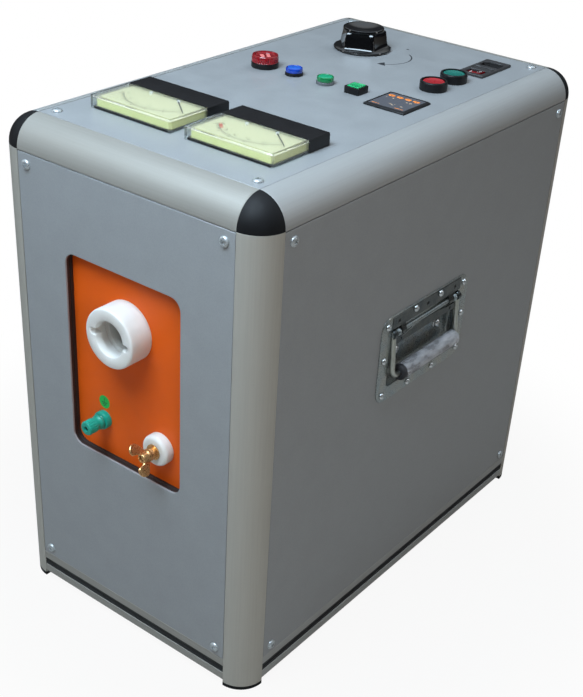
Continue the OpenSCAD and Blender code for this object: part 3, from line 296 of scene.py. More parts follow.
def along_y(side=1):
    """Lays a bar along Y, with its section's first axis out of the right or the left."""
    return Matrix(((side, 0, 0, 0), (0, 0, 1, 0), (0, 1, 0, 0), (0, 0, 0, 1)))


def arc(r, start, end, steps, x=0.0, y=0.0):
    """Points on an arc, angles in degrees from +X."""
    out = []
    for k in range(steps + 1):
        a = math.radians(start + (end - start) * k / steps)
        out.append((x + r * math.cos(a), y + r * math.sin(a)))
    return out


def figures(text, height):
    """Plain figures for a dial, as a flat shape."""
    curve = bpy.data.curves.new("figures", "FONT")
    curve.body = text
    curve.size = height
    curve.align_x = "CENTER"
    curve.align_y = "CENTER"
    curve.extrude = 0.03
    curve.resolution_u = 3
    holder = bpy.data.objects.new("figures", curve)
    bpy.context.scene.collection.objects.link(holder)
    bpy.context.view_layer.update()
    mesh = bpy.data.meshes.new_from_object(holder)
    shape = [v.co.copy() for v in mesh.vertices], [tuple(p.vertices) for p in mesh.polygons]
    bpy.data.objects.remove(holder)
    bpy.data.meshes.remove(mesh)
    bpy.data.curves.remove(curve)
    return shape


# The materials by their short names

MATERIALS = {}


# Places on the cabinet: local Z points out of the face

def on_top(x=0.0, y=0.0, z=0.0):
    """On the top panel, seen from above."""
    return Matrix.Scale(MM, 4) @ Matrix.Translation((x, y + MIDDLE_Y, TOP + z))


def on_front(x=0.0, z=0.0, out=0.0):
    """On the front panel, or further out of it."""
    return Matrix.Scale(MM, 4) @ Matrix.Translation((x, MIDDLE_Y - HALF_D - out, z)) @ turned(90, "X")


def on_rear(x=0.0, z=0.0):
    """On the rear panel, seen from behind."""
    return Matrix.Scale(MM, 4) @ Matrix.Translation((-x, MIDDLE_Y + HALF_D, z)) @ turned(180) @ turned(90, "X")


def on_right(y=0.0, z=0.0):
    """On the right side panel."""
    return Matrix.Scale(MM, 4) @ Matrix.Translation((HALF_W, MIDDLE_Y + y, z)) @ turned(90) @ turned(90, "X")


def on_left(y=0.0, z=0.0):
    """On the left side panel."""
    return Matrix.Scale(MM, 4) @ Matrix.Translation((-HALF_W, MIDDLE_Y - y, z)) @ turned(-90) @ turned(90, "X")


def in_space():
    """The middle of the cabinet's foot, with nothing turned."""
    return Matrix.Scale(MM, 4) @ Matrix.Translation((0, MIDDLE_Y, 0))


def add_piece(name, shape, place, finish, stands_for=(), body="cabinet", smooth=32):
    """Makes the object, in metres in the row frame, and says what it rides on and stands for."""
    points, faces = shape
    mesh = bpy.data.meshes.new(name)
    mesh.from_pydata([tuple(place @ p) for p in points], [], faces)
    work = bmesh.new()
    work.from_mesh(mesh)
    bmesh.ops.remove_doubles(work, verts=work.verts, dist=1e-7)
    bmesh.ops.recalc_face_normals(work, faces=work.faces)
    work.to_mesh(mesh)
    work.free()
    mesh.polygons.foreach_set("use_smooth", [True] * len(mesh.polygons))
    mesh.set_sharp_from_angle(angle=math.radians(smooth))
    mesh.materials.append(MATERIALS[finish])
    piece = bpy.data.objects.new(name, mesh)
    bpy.context.scene.collection.objects.link(piece)
    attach(piece, body)
    if stands_for:
        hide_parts(*stands_for)


# Materials

def from_hex(code):
    """An sRGB hex colour as linear red, green, blue and alpha."""
    values = [int(code[k:k + 2], 16) / 255 for k in (1, 3, 5)]
    linear = [v / 12.92 if v <= 0.04045 else ((v + 0.055) / 1.055) ** 2.4 for v in values]
    return (*linear, 1.0)


def add_node(tree, kind, settings=None, links=None):
    """Adds a node; settings go to its sockets or its own values, links join its sockets to others."""
    node = tree.nodes.new(kind)
    for key, value in (settings or {}).items():
        if isinstance(key, int) or key in node.inputs:
            node.inputs[key].default_value = value
        else:
            setattr(node, key, value)
    for key, source in (links or {}).items():
        tree.links.new(source, node.inputs[key])
    return node


def start_material(name):
    """A material with an empty node tree, and the place on the object that its patterns follow."""
    material = bpy.data.materials.new(name)
    material.use_nodes = True
    tree = material.node_tree
    tree.nodes.clear()
    place = add_node(tree, "ShaderNodeTexCoord").outputs["Object"]
    return material, tree, place


def end_material(tree, shader):
    """Makes the shader the material's surface."""
    add_node(tree, "ShaderNodeOutputMaterial", links={"Surface": shader})


def grain(tree, place, size_mm, detail=2.0, stretch=(1, 1, 1)):
    """Noise whose spots are about size_mm across."""
    mapped = add_node(tree, "ShaderNodeMapping", {"Scale": stretch}, {"Vector": place})
    return add_node(
        tree, "ShaderNodeTexNoise", {"Scale": 1 / (size_mm * MM), "Detail": detail},
        {"Vector": mapped.outputs[0]},
    ).outputs["Fac"]


def blended(tree, factor, first, second, low=0.3, high=0.7):
    """A colour that runs from first to second as the factor goes from low to high."""
    ramp = add_node(tree, "ShaderNodeValToRGB", links={"Fac": factor})
    ramp.color_ramp.elements[0].position = low
    ramp.color_ramp.elements[0].color = first
    ramp.color_ramp.elements[1].position = high
    ramp.color_ramp.elements[1].color = second
    return ramp.outputs["Color"]


def ranged(tree, factor, low, high):
    """A number that runs from low to high with a noise's usual values."""
    return add_node(
        tree, "ShaderNodeMapRange", {"From Min": 0.3, "From Max": 0.7, "To Min": low, "To Max": high},
        {"Value": factor},
    ).outputs["Result"]


def bumped(tree, height, depth_mm, strength):
    """A relief as deep as depth_mm."""
    return add_node(
        tree, "ShaderNodeBump", {"Strength": strength, "Distance": depth_mm * MM}, {"Height": height},
    ).outputs["Normal"]


def shade(code, factor):
    """The hex colour made lighter or darker."""
    r, g, b, a = from_hex(code)
    return (min(r * factor, 1), min(g * factor, 1), min(b * factor, 1), a)


def powder_coated(name, code):
    """Powder-coated sheet: a fine pebbled skin that breaks up the gloss, with slight mottling.

    The real pebbles are about 0.4 mm across. They are drawn at 1.1 and 0.5 mm, so that they show.
    """
    material, tree, place = start_material(name)
    mottle = grain(tree, place, 26, 3)
    pebble = grain(tree, place, 1.1, 2)
    fine = grain(tree, place, 0.5, 1)
    speck = add_node(
        tree, "ShaderNodeMix", {"data_type": "FLOAT", 0: 0.3}, {2: pebble, 3: fine},
    ).outputs[0]
    colour = add_node(
        tree, "ShaderNodeMix", {"data_type": "RGBA", "blend_type": "MULTIPLY", 0: 1.0},
        {
            6: blended(tree, mottle, shade(code, 0.965), shade(code, 1.03)),
            7: blended(tree, speck, (0.93, 0.93, 0.935, 1), (1, 1, 1, 1), 0.35, 0.6),
        },
    ).outputs[2]
    shader = add_node(
        tree, "ShaderNodeBsdfPrincipled", {"IOR": 1.5, "Specular IOR Level": 0.45},
        {
            "Base Color": colour,
            "Roughness": ranged(tree, mottle, 0.34, 0.42),
            "Normal": bumped(tree, speck, 0.05, 0.35),
        },
    )
    end_material(tree, shader.outputs[0])
    return material


def anodised(name, code, stretch):
    """Satin-anodised extruded aluminium: matt and pale under its oxide, with faint die lines along the bar.

    The real lines are a few tenths of a millimetre apart. They are drawn 1.6 mm apart, so that they show.
    """
    material, tree, place = start_material(name)
    lines = grain(tree, place, 1.6, 3, stretch)
    cloud = grain(tree, place, 40, 2)
    grit = grain(tree, place, 0.6, 1)
    shader = add_node(
        tree, "ShaderNodeBsdfPrincipled", {"Metallic": 0.3, "Specular IOR Level": 0.4},
        {
            "Base Color": blended(tree, lines, shade(code, 0.97), shade(code, 1.03)),
            "Roughness": ranged(tree, cloud, 0.46, 0.54),
            "Normal": bumped(tree, grit, 0.03, 0.25),
        },
    )
    end_material(tree, shader.outputs[0])
    return material


def moulded(name, code, roughness, grain_mm, depth, coat=0.0, gloss=0.5):
    """Moulded plastic: an even colour with the fine spark-eroded grain of the mould.

    Such a grain is 0.1 to 0.3 mm across. It is drawn at 0.5 mm or more, so that it shows.
    """
    material, tree, place = start_material(name)
    fine = grain(tree, place, grain_mm, 2)
    cloud = grain(tree, place, 14, 2)
    shader = add_node(
        tree, "ShaderNodeBsdfPrincipled",
        {"IOR": 1.5, "Specular IOR Level": gloss, "Coat Weight": coat, "Coat Roughness": 0.06},
        {
            "Base Color": blended(tree, cloud, shade(code, 0.94), shade(code, 1.05)),
            "Roughness": ranged(tree, cloud, roughness * 0.9, roughness * 1.12),
            "Normal": bumped(tree, fine, depth, 0.4),
        },
    )
    end_material(tree, shader.outputs[0])
    return material


def plated(name, code, second, roughness=0.25, spot_mm=9, depth=0.05, metal=1.0):
    """Plated metal: bright, with the slight cloudy colour change of its bath and soft dents."""
    material, tree, place = start_material(name)
    cloud = grain(tree, place, spot_mm, 2)
    fine = grain(tree, place, 0.8, 2)
    shader = add_node(
        tree, "ShaderNodeBsdfPrincipled", {"Metallic": metal},
        {
            "Base Color": blended(tree, cloud, from_hex(code), from_hex(second)),
            "Roughness": ranged(tree, fine, roughness * 0.8, roughness * 1.3),
            "Normal": bumped(tree, cloud, depth, 0.3),
        },
    )
    end_material(tree, shader.outputs[0])
    return material


def turned_plastic(name, code):
    """White plastic turned on a lathe: waxy, letting light in under its skin, with faint tool rings.

    A lathe leaves rings about 0.2 mm apart. They are drawn 1.75 mm apart, so that they show.
    """
    material, tree, place = start_material(name)
    centred = add_node(
        tree, "ShaderNodeMapping", {"Location": (-BUSH_X * MM, 0, -BUSH_Z * MM)}, {"Vector": place},
    )
    rings = add_node(
        tree, "ShaderNodeTexWave",
        {"wave_type": "RINGS", "rings_direction": "Y", "Scale": 180, "Distortion": 0.6, "Detail": 1},
        {"Vector": centred.outputs[0]},
    ).outputs["Fac"]
    cloud = grain(tree, place, 12, 2)
    shader = add_node(
        tree, "ShaderNodeBsdfPrincipled",
        {"IOR": 1.45, "Subsurface Weight": 0.55, "Subsurface Scale": 0.008, "Subsurface Radius": (1, 1, 1)},
        {
            "Base Color": blended(tree, cloud, shade(code, 0.97), shade(code, 1.02)),
            "Roughness": ranged(tree, cloud, 0.36, 0.46),
            "Normal": bumped(tree, rings, 0.02, 0.2),
        },
    )
    end_material(tree, shader.outputs[0])
    return material


def laminate(name, code):
    """Painted insulating laminate: a satin, even colour with the relief of glass threads 1.2 mm apart."""
    material, tree, place = start_material(name)
    cloud = grain(tree, place, 60, 3)
    fine = grain(tree, place, 1.2, 2)
    shader = add_node(
        tree, "ShaderNodeBsdfPrincipled", {"IOR": 1.5, "Specular IOR Level": 0.2},
        {
            "Base Color": blended(tree, cloud, shade(code, 0.93), shade(code, 1.06)),
            "Roughness": ranged(tree, cloud, 0.42, 0.52),
            "Normal": bumped(tree, fine, 0.03, 0.3),
        },
    )
    end_material(tree, shader.outputs[0])
    return material


def clear_plastic(name, code, clearness):
    """Clear moulded plastic: see-through, with a gloss that grows towards grazing angles.

    It lets shadow and diffuse rays through, so what lies under it is lit as the rest is.
    """
    material, tree, place = start_material(name)
    waves = grain(tree, place, 8, 2)
    glass = add_node(
        tree, "ShaderNodeBsdfPrincipled",
        {"Base Color": from_hex(code), "Roughness": 0.0, "IOR": 1.49, "Transmission Weight": 1.0},
        {"Normal": bumped(tree, waves, 0.01, 0.05)},
    )
    open_air = add_node(tree, "ShaderNodeBsdfTransparent", {"Color": from_hex(code)})
    light = add_node(tree, "ShaderNodeLightPath")
    either = add_node(
        tree, "ShaderNodeMath", {"operation": "MAXIMUM"},
        {0: light.outputs["Is Shadow Ray"], 1: light.outputs["Is Diffuse Ray"]},
    )
    part = add_node(
        tree, "ShaderNodeMath", {"operation": "MAXIMUM", 1: clearness}, {0: either.outputs[0]},
    )
    mixed = add_node(
        tree, "ShaderNodeMixShader", None,
        {0: part.outputs[0], 1: glass.outputs[0], 2: open_air.outputs[0]},
    )
    end_material(tree, mixed.outputs[0])
    return material


def lens(name, code, through, roughness):
    """Coloured lens plastic: deep even colour, glossy, letting some light through."""
    material, tree, place = start_material(name)
    cloud = grain(tree, place, 4, 2)
    shader = add_node(
        tree, "ShaderNodeBsdfPrincipled",
        {
            "IOR": 1.49, "Transmission Weight": through, "Roughness": roughness,
            "Coat Weight": 0.6, "Coat Roughness": 0.04,
        },
        {
            "Base Color": blended(tree, cloud, shade(code, 0.9), shade(code, 1.1)),
            "Normal": bumped(tree, cloud, 0.02, 0.15),
        },
    )
    end_material(tree, shader.outputs[0])
    return material


def printed(name, code, roughness):
    """Screen-printed ink or paint: flat colour with slightly uneven cover."""
    material, tree, place = start_material(name)
    cover = grain(tree, place, 0.6, 3)
    shader = add_node(
        tree, "ShaderNodeBsdfPrincipled", {"IOR": 1.45},
        {
            "Base Color": blended(tree, cover, shade(code, 0.8), shade(code, 1.15)),
            "Roughness": ranged(tree, cover, roughness * 0.9, roughness * 1.1),
        },
    )
    end_material(tree, shader.outputs[0])
    return material


def film(name, code):
    """Thin clear film pulled over a grip: milky, with creases 5 mm apart and sharp streaks of gloss."""
    material, tree, place = start_material(name)
    crease = grain(tree, place, 5, 4, (1, 0.35, 1))
    milk = add_node(
        tree, "ShaderNodeBsdfPrincipled", {"Roughness": 0.18, "IOR": 1.5, "Coat Weight": 0.5},
        {
            "Base Color": blended(tree, crease, shade(code, 0.8), shade(code, 1.1)),
            "Normal": bumped(tree, crease, 0.9, 0.6),
        },
    )
    open_air = add_node(tree, "ShaderNodeBsdfTransparent", {"Color": (0.93, 0.94, 0.96, 1)})
    mixed = add_node(
        tree, "ShaderNodeMixShader", None,
        {0: ranged(tree, crease, 0.28, 0.7), 1: open_air.outputs[0], 2: milk.outputs[0]},
    )
    end_material(tree, mixed.outputs[0])
    return material


# Settings

def colour_setting(name, text, code):
    """A colour whose default is an sRGB hex value."""
    return bpy.props.FloatVectorProperty(
        name=name, description=text, subtype="COLOR", size=3, min=0, max=1, default=from_hex(code)[:3],
    )


def length_setting(name, text, mm):
    """A length whose default is in millimetres."""
    return bpy.props.FloatProperty(
        name=name, description=text, unit="LENGTH", subtype="DISTANCE", default=mm * MM,
    )


def to_hex(colour):
    """The linear colour of a setting as an sRGB hex value."""
    out = "#"
    for v in colour:
        s = 12.92 * v if v <= 0.0031308 else 1.055 * v ** (1 / 2.4) - 0.055
        out += f"{round(max(0, min(1, s)) * 255):02x}"
    return out


class TesterColours(bpy.types.PropertyGroup):
    """Main colours of the tester"""

    panel: colour_setting("Panels", "Powder coat of the sheet panels", "#8f9294")
    # One anodised aluminium in three tones: rails along the width painted darker and posts painted lighter, as
    # painted shade and painted light
    profile: colour_setting("Profiles", "Anodised rails along the width", "#95938d")
    side_profile: colour_setting("Side profiles", "Anodised rails along the depth", "#9fa09f")
    post: colour_setting("Posts", "Anodised corner posts", "#aca9a1")
    board: colour_setting("Board", "Insulating board behind the window", "#dc5a12")
    bush: colour_setting("Bush", "Turned white plastic of the bush and the insulator", "#d9d8d4")
    earth: colour_setting("Earth post", "Green plastic of the earth post", "#0b917d")
    brass: colour_setting("Brass", "Stud, nuts and wing nut", "#dcae78")
    dial: colour_setting("Dial", "Painted dials of the meters", "#e9e2b6")


class TesterSizes(bpy.types.PropertyGroup):
    """Sizes of what the scene adds to the part"""

    screw_head: length_setting("Screw head", "Diameter of the panel screws' heads", 10.0)
    rivet_head: length_setting("Rivet head", "Diameter of the rivets' heads", 7.5)
    spring_wire: length_setting("Spring wire", "Diameter of the wire of the hinge springs", 1.4)
    tick_width: length_setting("Tick width", "Width of the long ticks on the dials", 0.8)
    figure_height: length_setting("Figure height", "Height of the figures on the dials", 4.2)


class TesterStage(bpy.types.PropertyGroup):
    """Camera and lights"""

    lens: bpy.props.FloatProperty(name="Lens", description="Focal length in millimetres", default=63.143)
    key_watts: bpy.props.FloatProperty(
        name="Key light", description="Power of the large soft light", default=24.5,
    )
    fill_watts: bpy.props.FloatProperty(
        name="Rear light", description="Power of the light over the rear", default=9.0,
    )
    sky: bpy.props.FloatProperty(name="Sky", description="Light from all round", default=0.25)


def colours():
    """The scene's colour settings."""
    return bpy.context.scene.tester_colours


def sizes():
    """The scene's size settings."""
    return bpy.context.scene.tester_sizes


class TESTER_OT_materials(bpy.types.Operator):
    """Make every material of the tester"""

    bl_idname = "tester.materials"
    bl_label = "Materials"

    def execute(self, context):
        c = colours()
        m = MATERIALS

        # Cabinet: matt grey sheet between pale satin profiles, with dead black caps that show no glint. The
        # profiles are one anodised aluminium in three painted tones, rails along the width darkest and posts
        # lightest: painted shade and painted light for how light falls on each
        m["panel"] = powder_coated("powder_coated_steel", to_hex(c.panel))
        m["profile_x_painted_darker"] = anodised("anodised_aluminium_x_painted_darker", to_hex(c.profile), (0.02, 1, 1))
        m["profile_y_painted_mid_tone"] = anodised("anodised_aluminium_y_painted_mid_tone", to_hex(c.side_profile), (1, 0.02, 1))
        m["profile_z_painted_lighter"] = anodised("anodised_aluminium_z_painted_lighter", to_hex(c.post), (1, 1, 0.02))
        m["cap"] = moulded("moulded_nylon", "#0c0c0e", 0.6, 0.9, 0.12, gloss=0.25)
        m["rubber"] = moulded("extruded_rubber", "#161617", 0.62, 0.5, 0.05)
        m["screw"] = plated("dull_zinc_screws", "#cdd2d4", "#b4b9bb", 0.3, 3, 0.05, 0.7)

        # Bay: a warm satin board, a waxy white bush, glossy green plastic and yellow brass with turning marks
        m["spacer"] = moulded("milled_bakelite", "#1e1b1a", 0.5, 1.0, 0.06)
        m["board"] = laminate("painted_laminate", to_hex(c.board))
        m["bush"] = turned_plastic("turned_white_nylon", to_hex(c.bush))
        m["earth"] = moulded("moulded_green_abs", to_hex(c.earth), 0.34, 0.5, 0.02)
        m["earth_sign"] = printed("green_sticker", "#12b04a", 0.45)
        m["brass"] = plated("turned_brass", to_hex(c.brass), "#d2a068", 0.28, 5, 0.01, 0.9)
        m["nickel"] = plated("nickel_plated_brass", "#d9d6cd", "#c9c6be", 0.18, 4)

        # Handles: cloudy zinc on the dish, the strip and the flap painted darker as a painted dark reflection,
        # bright rivets, black rubber under milky film
        m["zinc"] = plated("zinc_plated_steel", "#98a3a7", "#aaaaa3", 0.27, 13, 0.05, 0.8)
        # The strip's zinc painted darker: a painted dark reflection
        m["strip"] = plated("zinc_strip_painted_dark_reflection", "#50575a", "#6b6d6a", 0.22, 11, 0.05, 0.9)
        m["rivet"] = plated("bright_nickel_rivets", "#e6e9ea", "#cfd3d4", 0.2, 3, 0.05, 0.9)
        m["rod"] = plated("zinc_plated_rod", "#cdd0c8", "#bdbfb6", 0.34, 8)
        m["grip"] = moulded("moulded_soft_rubber", "#28282c", 0.55, 0.6, 0.05)
        m["film"] = film("clear_wrapping_film", "#c9ccd2")

        # Meters: satin black housings, clear fronts, and cream dials whose rim is painted brighter and yellower
        # as painted light, where light comes in through the clear front
        m["meter_black"] = moulded("moulded_black_abs", "#0f0f11", 0.4, 0.5, 0.02, gloss=0.3)
        m["acrylic"] = clear_plastic("moulded_clear_acrylic", "#f8faf9", 0.2)
        m["dial"] = printed("painted_dial_sheet", to_hex(c.dial), 0.5)
        # The dial's rim: the dial's own sheet, painted brighter and yellower as painted light
        m["dial_rim_painted_light"] = printed("dial_rim_bright_painted_light", "#f6f6a8", 0.4)
        m["ink"] = printed("black_printing_ink", "#23262a", 0.55)
        m["red_ink"] = printed("red_printing_ink", "#d8604e", 0.55)
        m["pointer"] = printed("painted_pointer", "#15171a", 0.5)
        m["movement"] = plated("plated_meter_movement", "#8b8d8c", "#77797a", 0.4, 4)
        m["peg"] = moulded("white_nylon_peg", "#f4f4f2", 0.3, 0.6, 0.01)

        # Lamps and buttons: deep glossy colours that glow a little, pale bars and paler tops painted on the
        # lenses as painted highlights and painted light, and softer caps with a mould's grain
        m["red_lens"] = lens("red_polycarbonate", "#8f0a17", 0.15, 0.06)
        # Pale pink for the bars on the beacon's top: painted highlights
        m["lamp_painted_highlight"] = lens("red_lens_painted_highlight", "#ff8a86", 0.0, 0.15)
        # The small lenses' tops are painted paler: painted light on their flat tops
        m["blue_lens"] = lens("blue_polycarbonate", "#0a3fae", 0.15, 0.12)
        m["blue_top"] = lens("blue_lens_painted_lit_top", "#1f66d2", 0.05, 0.15)
        m["green_lens"] = lens("green_polycarbonate", "#057a44", 0.15, 0.12)
        m["green_top"] = lens("green_lens_painted_lit_top", "#14a877", 0.05, 0.15)
        m["grey_collar"] = moulded("moulded_grey_abs", "#585c60", 0.4, 0.5, 0.03)
        m["red_cap"] = moulded("moulded_red_cap", "#a31c25", 0.3, 0.5, 0.01)
        m["green_cap"] = moulded("moulded_green_cap", "#08655a", 0.3, 0.5, 0.01)
        m["key_cap"] = lens("moulded_key_cap", "#15b06b", 0.1, 0.2)

        # Timer, inlet and knob: a smooth printed film, grained nylon, and hard black plastic with sharp glints
        m["timer_film"] = printed("printed_timer_film", "#55565c", 0.3)
        m["timer_key"] = printed("printed_orange_key", "#ff8d3e", 0.35)
        m["cream"] = printed("printed_cream_mark", "#e8c9a8", 0.4)
        m["inlet"] = moulded("moulded_inlet_nylon", "#2a292a", 0.45, 0.5, 0.04)
        m["rocker"] = lens("red_translucent_rocker", "#9d0d16", 0.2, 0.15)
        m["knob"] = moulded("moulded_phenolic", "#050506", 0.14, 1.2, 0.004, coat=0.6)

        # Inside: glossy copper windings, dark varnished steel, cast resin with soft swirls, green solder mask
        m["copper"] = plated("varnished_copper", "#b46a3a", "#8f4d28", 0.35, 3)
        m["core"] = moulded("varnished_core_steel", "#3a3d40", 0.45, 1.5, 0.1)
        m["resin"] = moulded("cast_resin", "#3b201a", 0.3, 6, 0.05)
        m["circuit"] = moulded("solder_mask", "#1f5b34", 0.35, 2, 0.03)
        m["bakelite_grey"] = moulded("moulded_grey_block", "#5c6063", 0.5, 0.8, 0.04)
        return {"FINISHED"}


# Finishes of the part's nodes that are carried over as they are
CAD_FINISHES = {
    "frame_caps": "cap", "slot_strips": "rubber", "floor_tray": "panel", "insulating_board": "board",
    "hv_bush_nut": "bush", "hv_contact": "brass", "earth_post_stem": "nickel", "meter_magnets": "movement",
    "output_pointer": "pointer", "leakage_pointer": "pointer", "output_zero_screw": "knob",
    "leakage_zero_screw": "knob", "contact_blocks": "bakelite_grey", "variac_rotor": "zinc",
    "variac_core": "copper", "hv_transformer_core": "core", "hv_block": "resin", "control_board": "circuit",
}


class TESTER_OT_inner_finishes(bpy.types.Operator):
    """Give the carried-over nodes their finishes"""

    bl_idname = "tester.inner_finishes"
    bl_label = "Carried-over nodes"

    def execute(self, context):
        for node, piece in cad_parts.items():
            key = CAD_FINISHES.get(node, "cap")
            piece.data.materials.clear()
            piece.data.materials.append(MATERIALS[key])
        return {"FINISHED"}


class TESTER_OT_frame(bpy.types.Operator):
    """Build the posts, the rails and the caps"""

    bl_idname = "tester.frame"
    bl_label = "Frame"

    def execute(self, context):
        hollow = [(WALL_T, WALL_T)] + arc(EDGE_R - WALL_T, 6.9, 83.1, 12)
        section = [(0, 0)] + arc(EDGE_R, 0, 90, 24)
        span_x, span_y = HALF_W - EDGE_R, HALF_D - EDGE_R
        reach_x, reach_y = span_x - RAIL_GAP, span_y - RAIL_GAP
        flange_end = 20.0
        flange = [(-20, EDGE_R - 4.5), (0.4, EDGE_R - 4.5), (0.4, EDGE_R - 2), (-20, EDGE_R - 2)]
        flanges = (flange, [(y, x) for x, y in flange])

        def bar(low, high, flange_low, flange_high):
            """A quarter-round profile with its two flanges, which hold the panels from behind."""
            hull = plate(section, [hollow], low, high, 0.25, 0.25)
            return joined(hull, *[plate(f, (), flange_low, flange_high, 0) for f in flanges])

        post = bar(FOOT_T, POST_TOP, RAIL_TOP, POST_TOP - flange_end - RAIL_GAP)
        posts = [
            moved(post, sx * span_x, sy * span_y, 0, Matrix.Diagonal((sx, sy, 1, 1)))
            for sx in (1, -1) for sy in (1, -1)
        ]
        bar_x = bar(-reach_x, reach_x, -reach_x, reach_x)
        rails_x = [moved(bar_x, 0, sy * span_y, POST_TOP, along_x(sy)) for sy in (1, -1)]
        bar_y = bar(-reach_y, reach_y, flange_end + RAIL_GAP - reach_y, reach_y - flange_end - RAIL_GAP)
        rails_y = [moved(bar_y, sx * span_x, 0, POST_TOP, along_y(sx)) for sx in (1, -1)]
        add_piece("posts", joined(*posts), in_space(), "profile_z_painted_lighter", ["frame_profiles"])
        add_piece("top_rails_x", joined(*rails_x), in_space(), "profile_x_painted_darker")
        add_piece("top_rails_y", joined(*rails_y), in_space(), "profile_y_painted_mid_tone")

        low, mid = RAIL_LOW, (RAIL_LOW + RAIL_TOP) / 2
        slot, cavity = 4.6, 8.6
        foot = 16.0
        rail = [
            (-foot, low), (EDGE_R - 0.4, low), (EDGE_R, low + 0.4), (EDGE_R, mid - slot - 0.3),
            (EDGE_R - 0.3, mid - slot), (EDGE_R - 3, mid - slot), (EDGE_R - 3, mid - cavity),
            (EDGE_R - 8, mid - cavity), (EDGE_R - 8, mid + cavity), (EDGE_R - 3, mid + cavity),
            (EDGE_R - 3, mid + slot), (EDGE_R - 0.3, mid + slot), (EDGE_R, mid + slot + 0.3),
            (EDGE_R, RAIL_TOP - 0.4), (EDGE_R - 0.4, RAIL_TOP), (0, RAIL_TOP), (0, low + 3), (-foot, low + 3),
        ]
        stub = [(0, low)] + rail[1:-2]
        fronts = [
            moved(plate(rail, (), -reach_x, reach_x, 0), 0, sy * span_y, 0, along_x(sy)) for sy in (1, -1)
        ]
        sides = []
        for sx in (1, -1):
            for outline, start, end in (
                (rail, foot - reach_y, reach_y - foot), (stub, reach_y - foot, reach_y),
                (stub, -reach_y, foot - reach_y),
            ):
                sides.append(moved(plate(outline, (), start, end, 0), sx * span_x, 0, 0, along_y(sx)))
        add_piece("bottom_rails_x", joined(*fronts), in_space(), "profile_x_painted_darker", ["bottom_rails"])
        add_piece("bottom_rails_y", joined(*sides), in_space(), "profile_y_painted_mid_tone")
        return {"FINISHED"}


# Sizes of a handle, from the middle of its dish and the face of the side panel
DISH_W, DISH_H, DISH_UP = 127.0, 65.0, 0.5
FLANGE_W, FLANGE_H, FLANGE_TOP = 160.0, 97.0, 1.5
HINGE_UP, HINGE_IN = 27.0, 1.2
STRIP_UP, STRIP_TOP, STRIP_T = 40.3, 2.3, 0.9
KNUCKLE_X = 44.4
BAIL_REST, BAIL_REACH = 4.5, 47.5
ARM_X, BEND_R, ROD_R = 59.4, 9.0, 3.0
GRIP_R, GRIP_LEN = 8.4, 96.8


def panel_loop(w, h, drop=0.0):
    """A panel's outline with a seam all round, wider along the top by the drop."""
    return rounded(w - 2 * PANEL_SEAM, h - 2 * PANEL_SEAM, 0.8, 0, -drop, 2)


class TESTER_OT_panels(bpy.types.Operator):
    """Build the sheet panels with their cut-outs"""

    bl_idname = "tester.panels"
    bl_label = "Panels"

    def execute(self, context):
        wide, deep = 2 * (HALF_W - EDGE_R), 2 * (HALF_D - EDGE_R)
        tall = POST_TOP - RAIL_TOP
        mid = (POST_TOP + RAIL_TOP) / 2
        holes = [
            disc(11.1, BEACON_X, ROW_Y), disc(8.1, BLUE_X, ROW_Y), disc(8.1, GREEN_X, ROW_Y),
            disc(8.1, KEY_X, ROW_Y), rounded(45, 45, 0.5, TIMER_X, ROW_Y, 1), disc(11.1, BUTTON_X, RED_Y),
            disc(11.1, BUTTON_X, GREEN_Y), rounded(27, 56.4, 0.5, INLET_X, INLET_Y, 1), disc(5, KNOB_X, KNOB_Y),
        ] + [disc(29.3, x, METER_Y + METER_HOLE_Y) for _, x in METERS]

        def sheet(outline, cuts=()):
            """A panel whose outer face is at its place's level."""
            return plate(outline, cuts, -PANEL_T, 0, PANEL_BEVEL)

        top = sheet(panel_loop(wide, deep), holes)
        add_piece("panel_top", top, on_top(), "panel", ["top_panel"])
        window = rounded(*WINDOW, WINDOW_X, WINDOW_Z - mid, 10)
        front = sheet(panel_loop(wide, tall, 0.5), [window])
        add_piece("panel_front", front, on_front(0, mid), "panel", ["front_panel"])
        for name, way, place, stands in (
            ("panel_right", 1, on_right(0, mid), ["side_panels"]), ("panel_left", -1, on_left(0, mid), ()),
        ):
            cut = rounded(131, 69, 5, way * HANDLE_Y, HANDLE_Z + DISH_UP - mid, 4)
            side = sheet(panel_loop(deep, tall, 0.5), [cut])
            add_piece(name, side, place, "panel", stands)
        rear = sheet(panel_loop(wide, tall))
        add_piece("panel_rear", rear, on_rear(0, mid), "panel", ["rear_panel"])
        return {"FINISHED"}


def cross(length, half):
    """The outline of a cross recess as a radius for each angle."""
    def radius(angle):
        a = abs((angle + math.pi / 4) % (math.pi / 2) - math.pi / 4)
        return min(length / math.cos(a), half / max(math.sin(a), 1e-3))
    return radius


def hexagon(across, limit):
    """A hexagon's radius for each angle, cut off at a limit."""
    def radius(angle):
        a = (angle + math.pi / 6) % (math.pi / 3) - math.pi / 6
        return min(across / 2 / math.cos(a), limit)
    return radius


def pan_screw(head_d):
    """The head of a pan screw, with its cross recess."""
    r = head_d / 2
    return spin([
        (0, -0.2), (r, -0.2), (r, 0.7), (r * 0.97, 1.3), (r * 0.86, 1.9), (r * 0.66, 2.4), (r * 0.56, 2.55),
        (cross(r * 0.5, r * 0.13), 2.58), (cross(r * 0.44, r * 0.09), 1.1), (0, 0.9),
    ], 96)


def rivet_head(head_d):
    """The domed head of a blind rivet, with the hole that its mandrel leaves."""
    r = head_d / 2
    return spin([
        (0, 0), (r * 0.78, 0), (r * 0.8, 0.45), (r, 0.6), (r * 0.97, 1.05), (r * 0.84, 1.75), (r * 0.62, 2.3),
        (r * 0.42, 2.5), (r * 0.33, 2.4), (r * 0.28, 1.3), (0, 1.3),
    ], 40)


# The rivets' places on the flange of a dish
RIVETS = [
    (-70.5, 39), (-23, 43), (23, 43), (70.5, 39), (72.5, 2), (70.5, -39), (23, -42), (-23, -42),
    (-70.5, -39), (-72.5, 2),
]


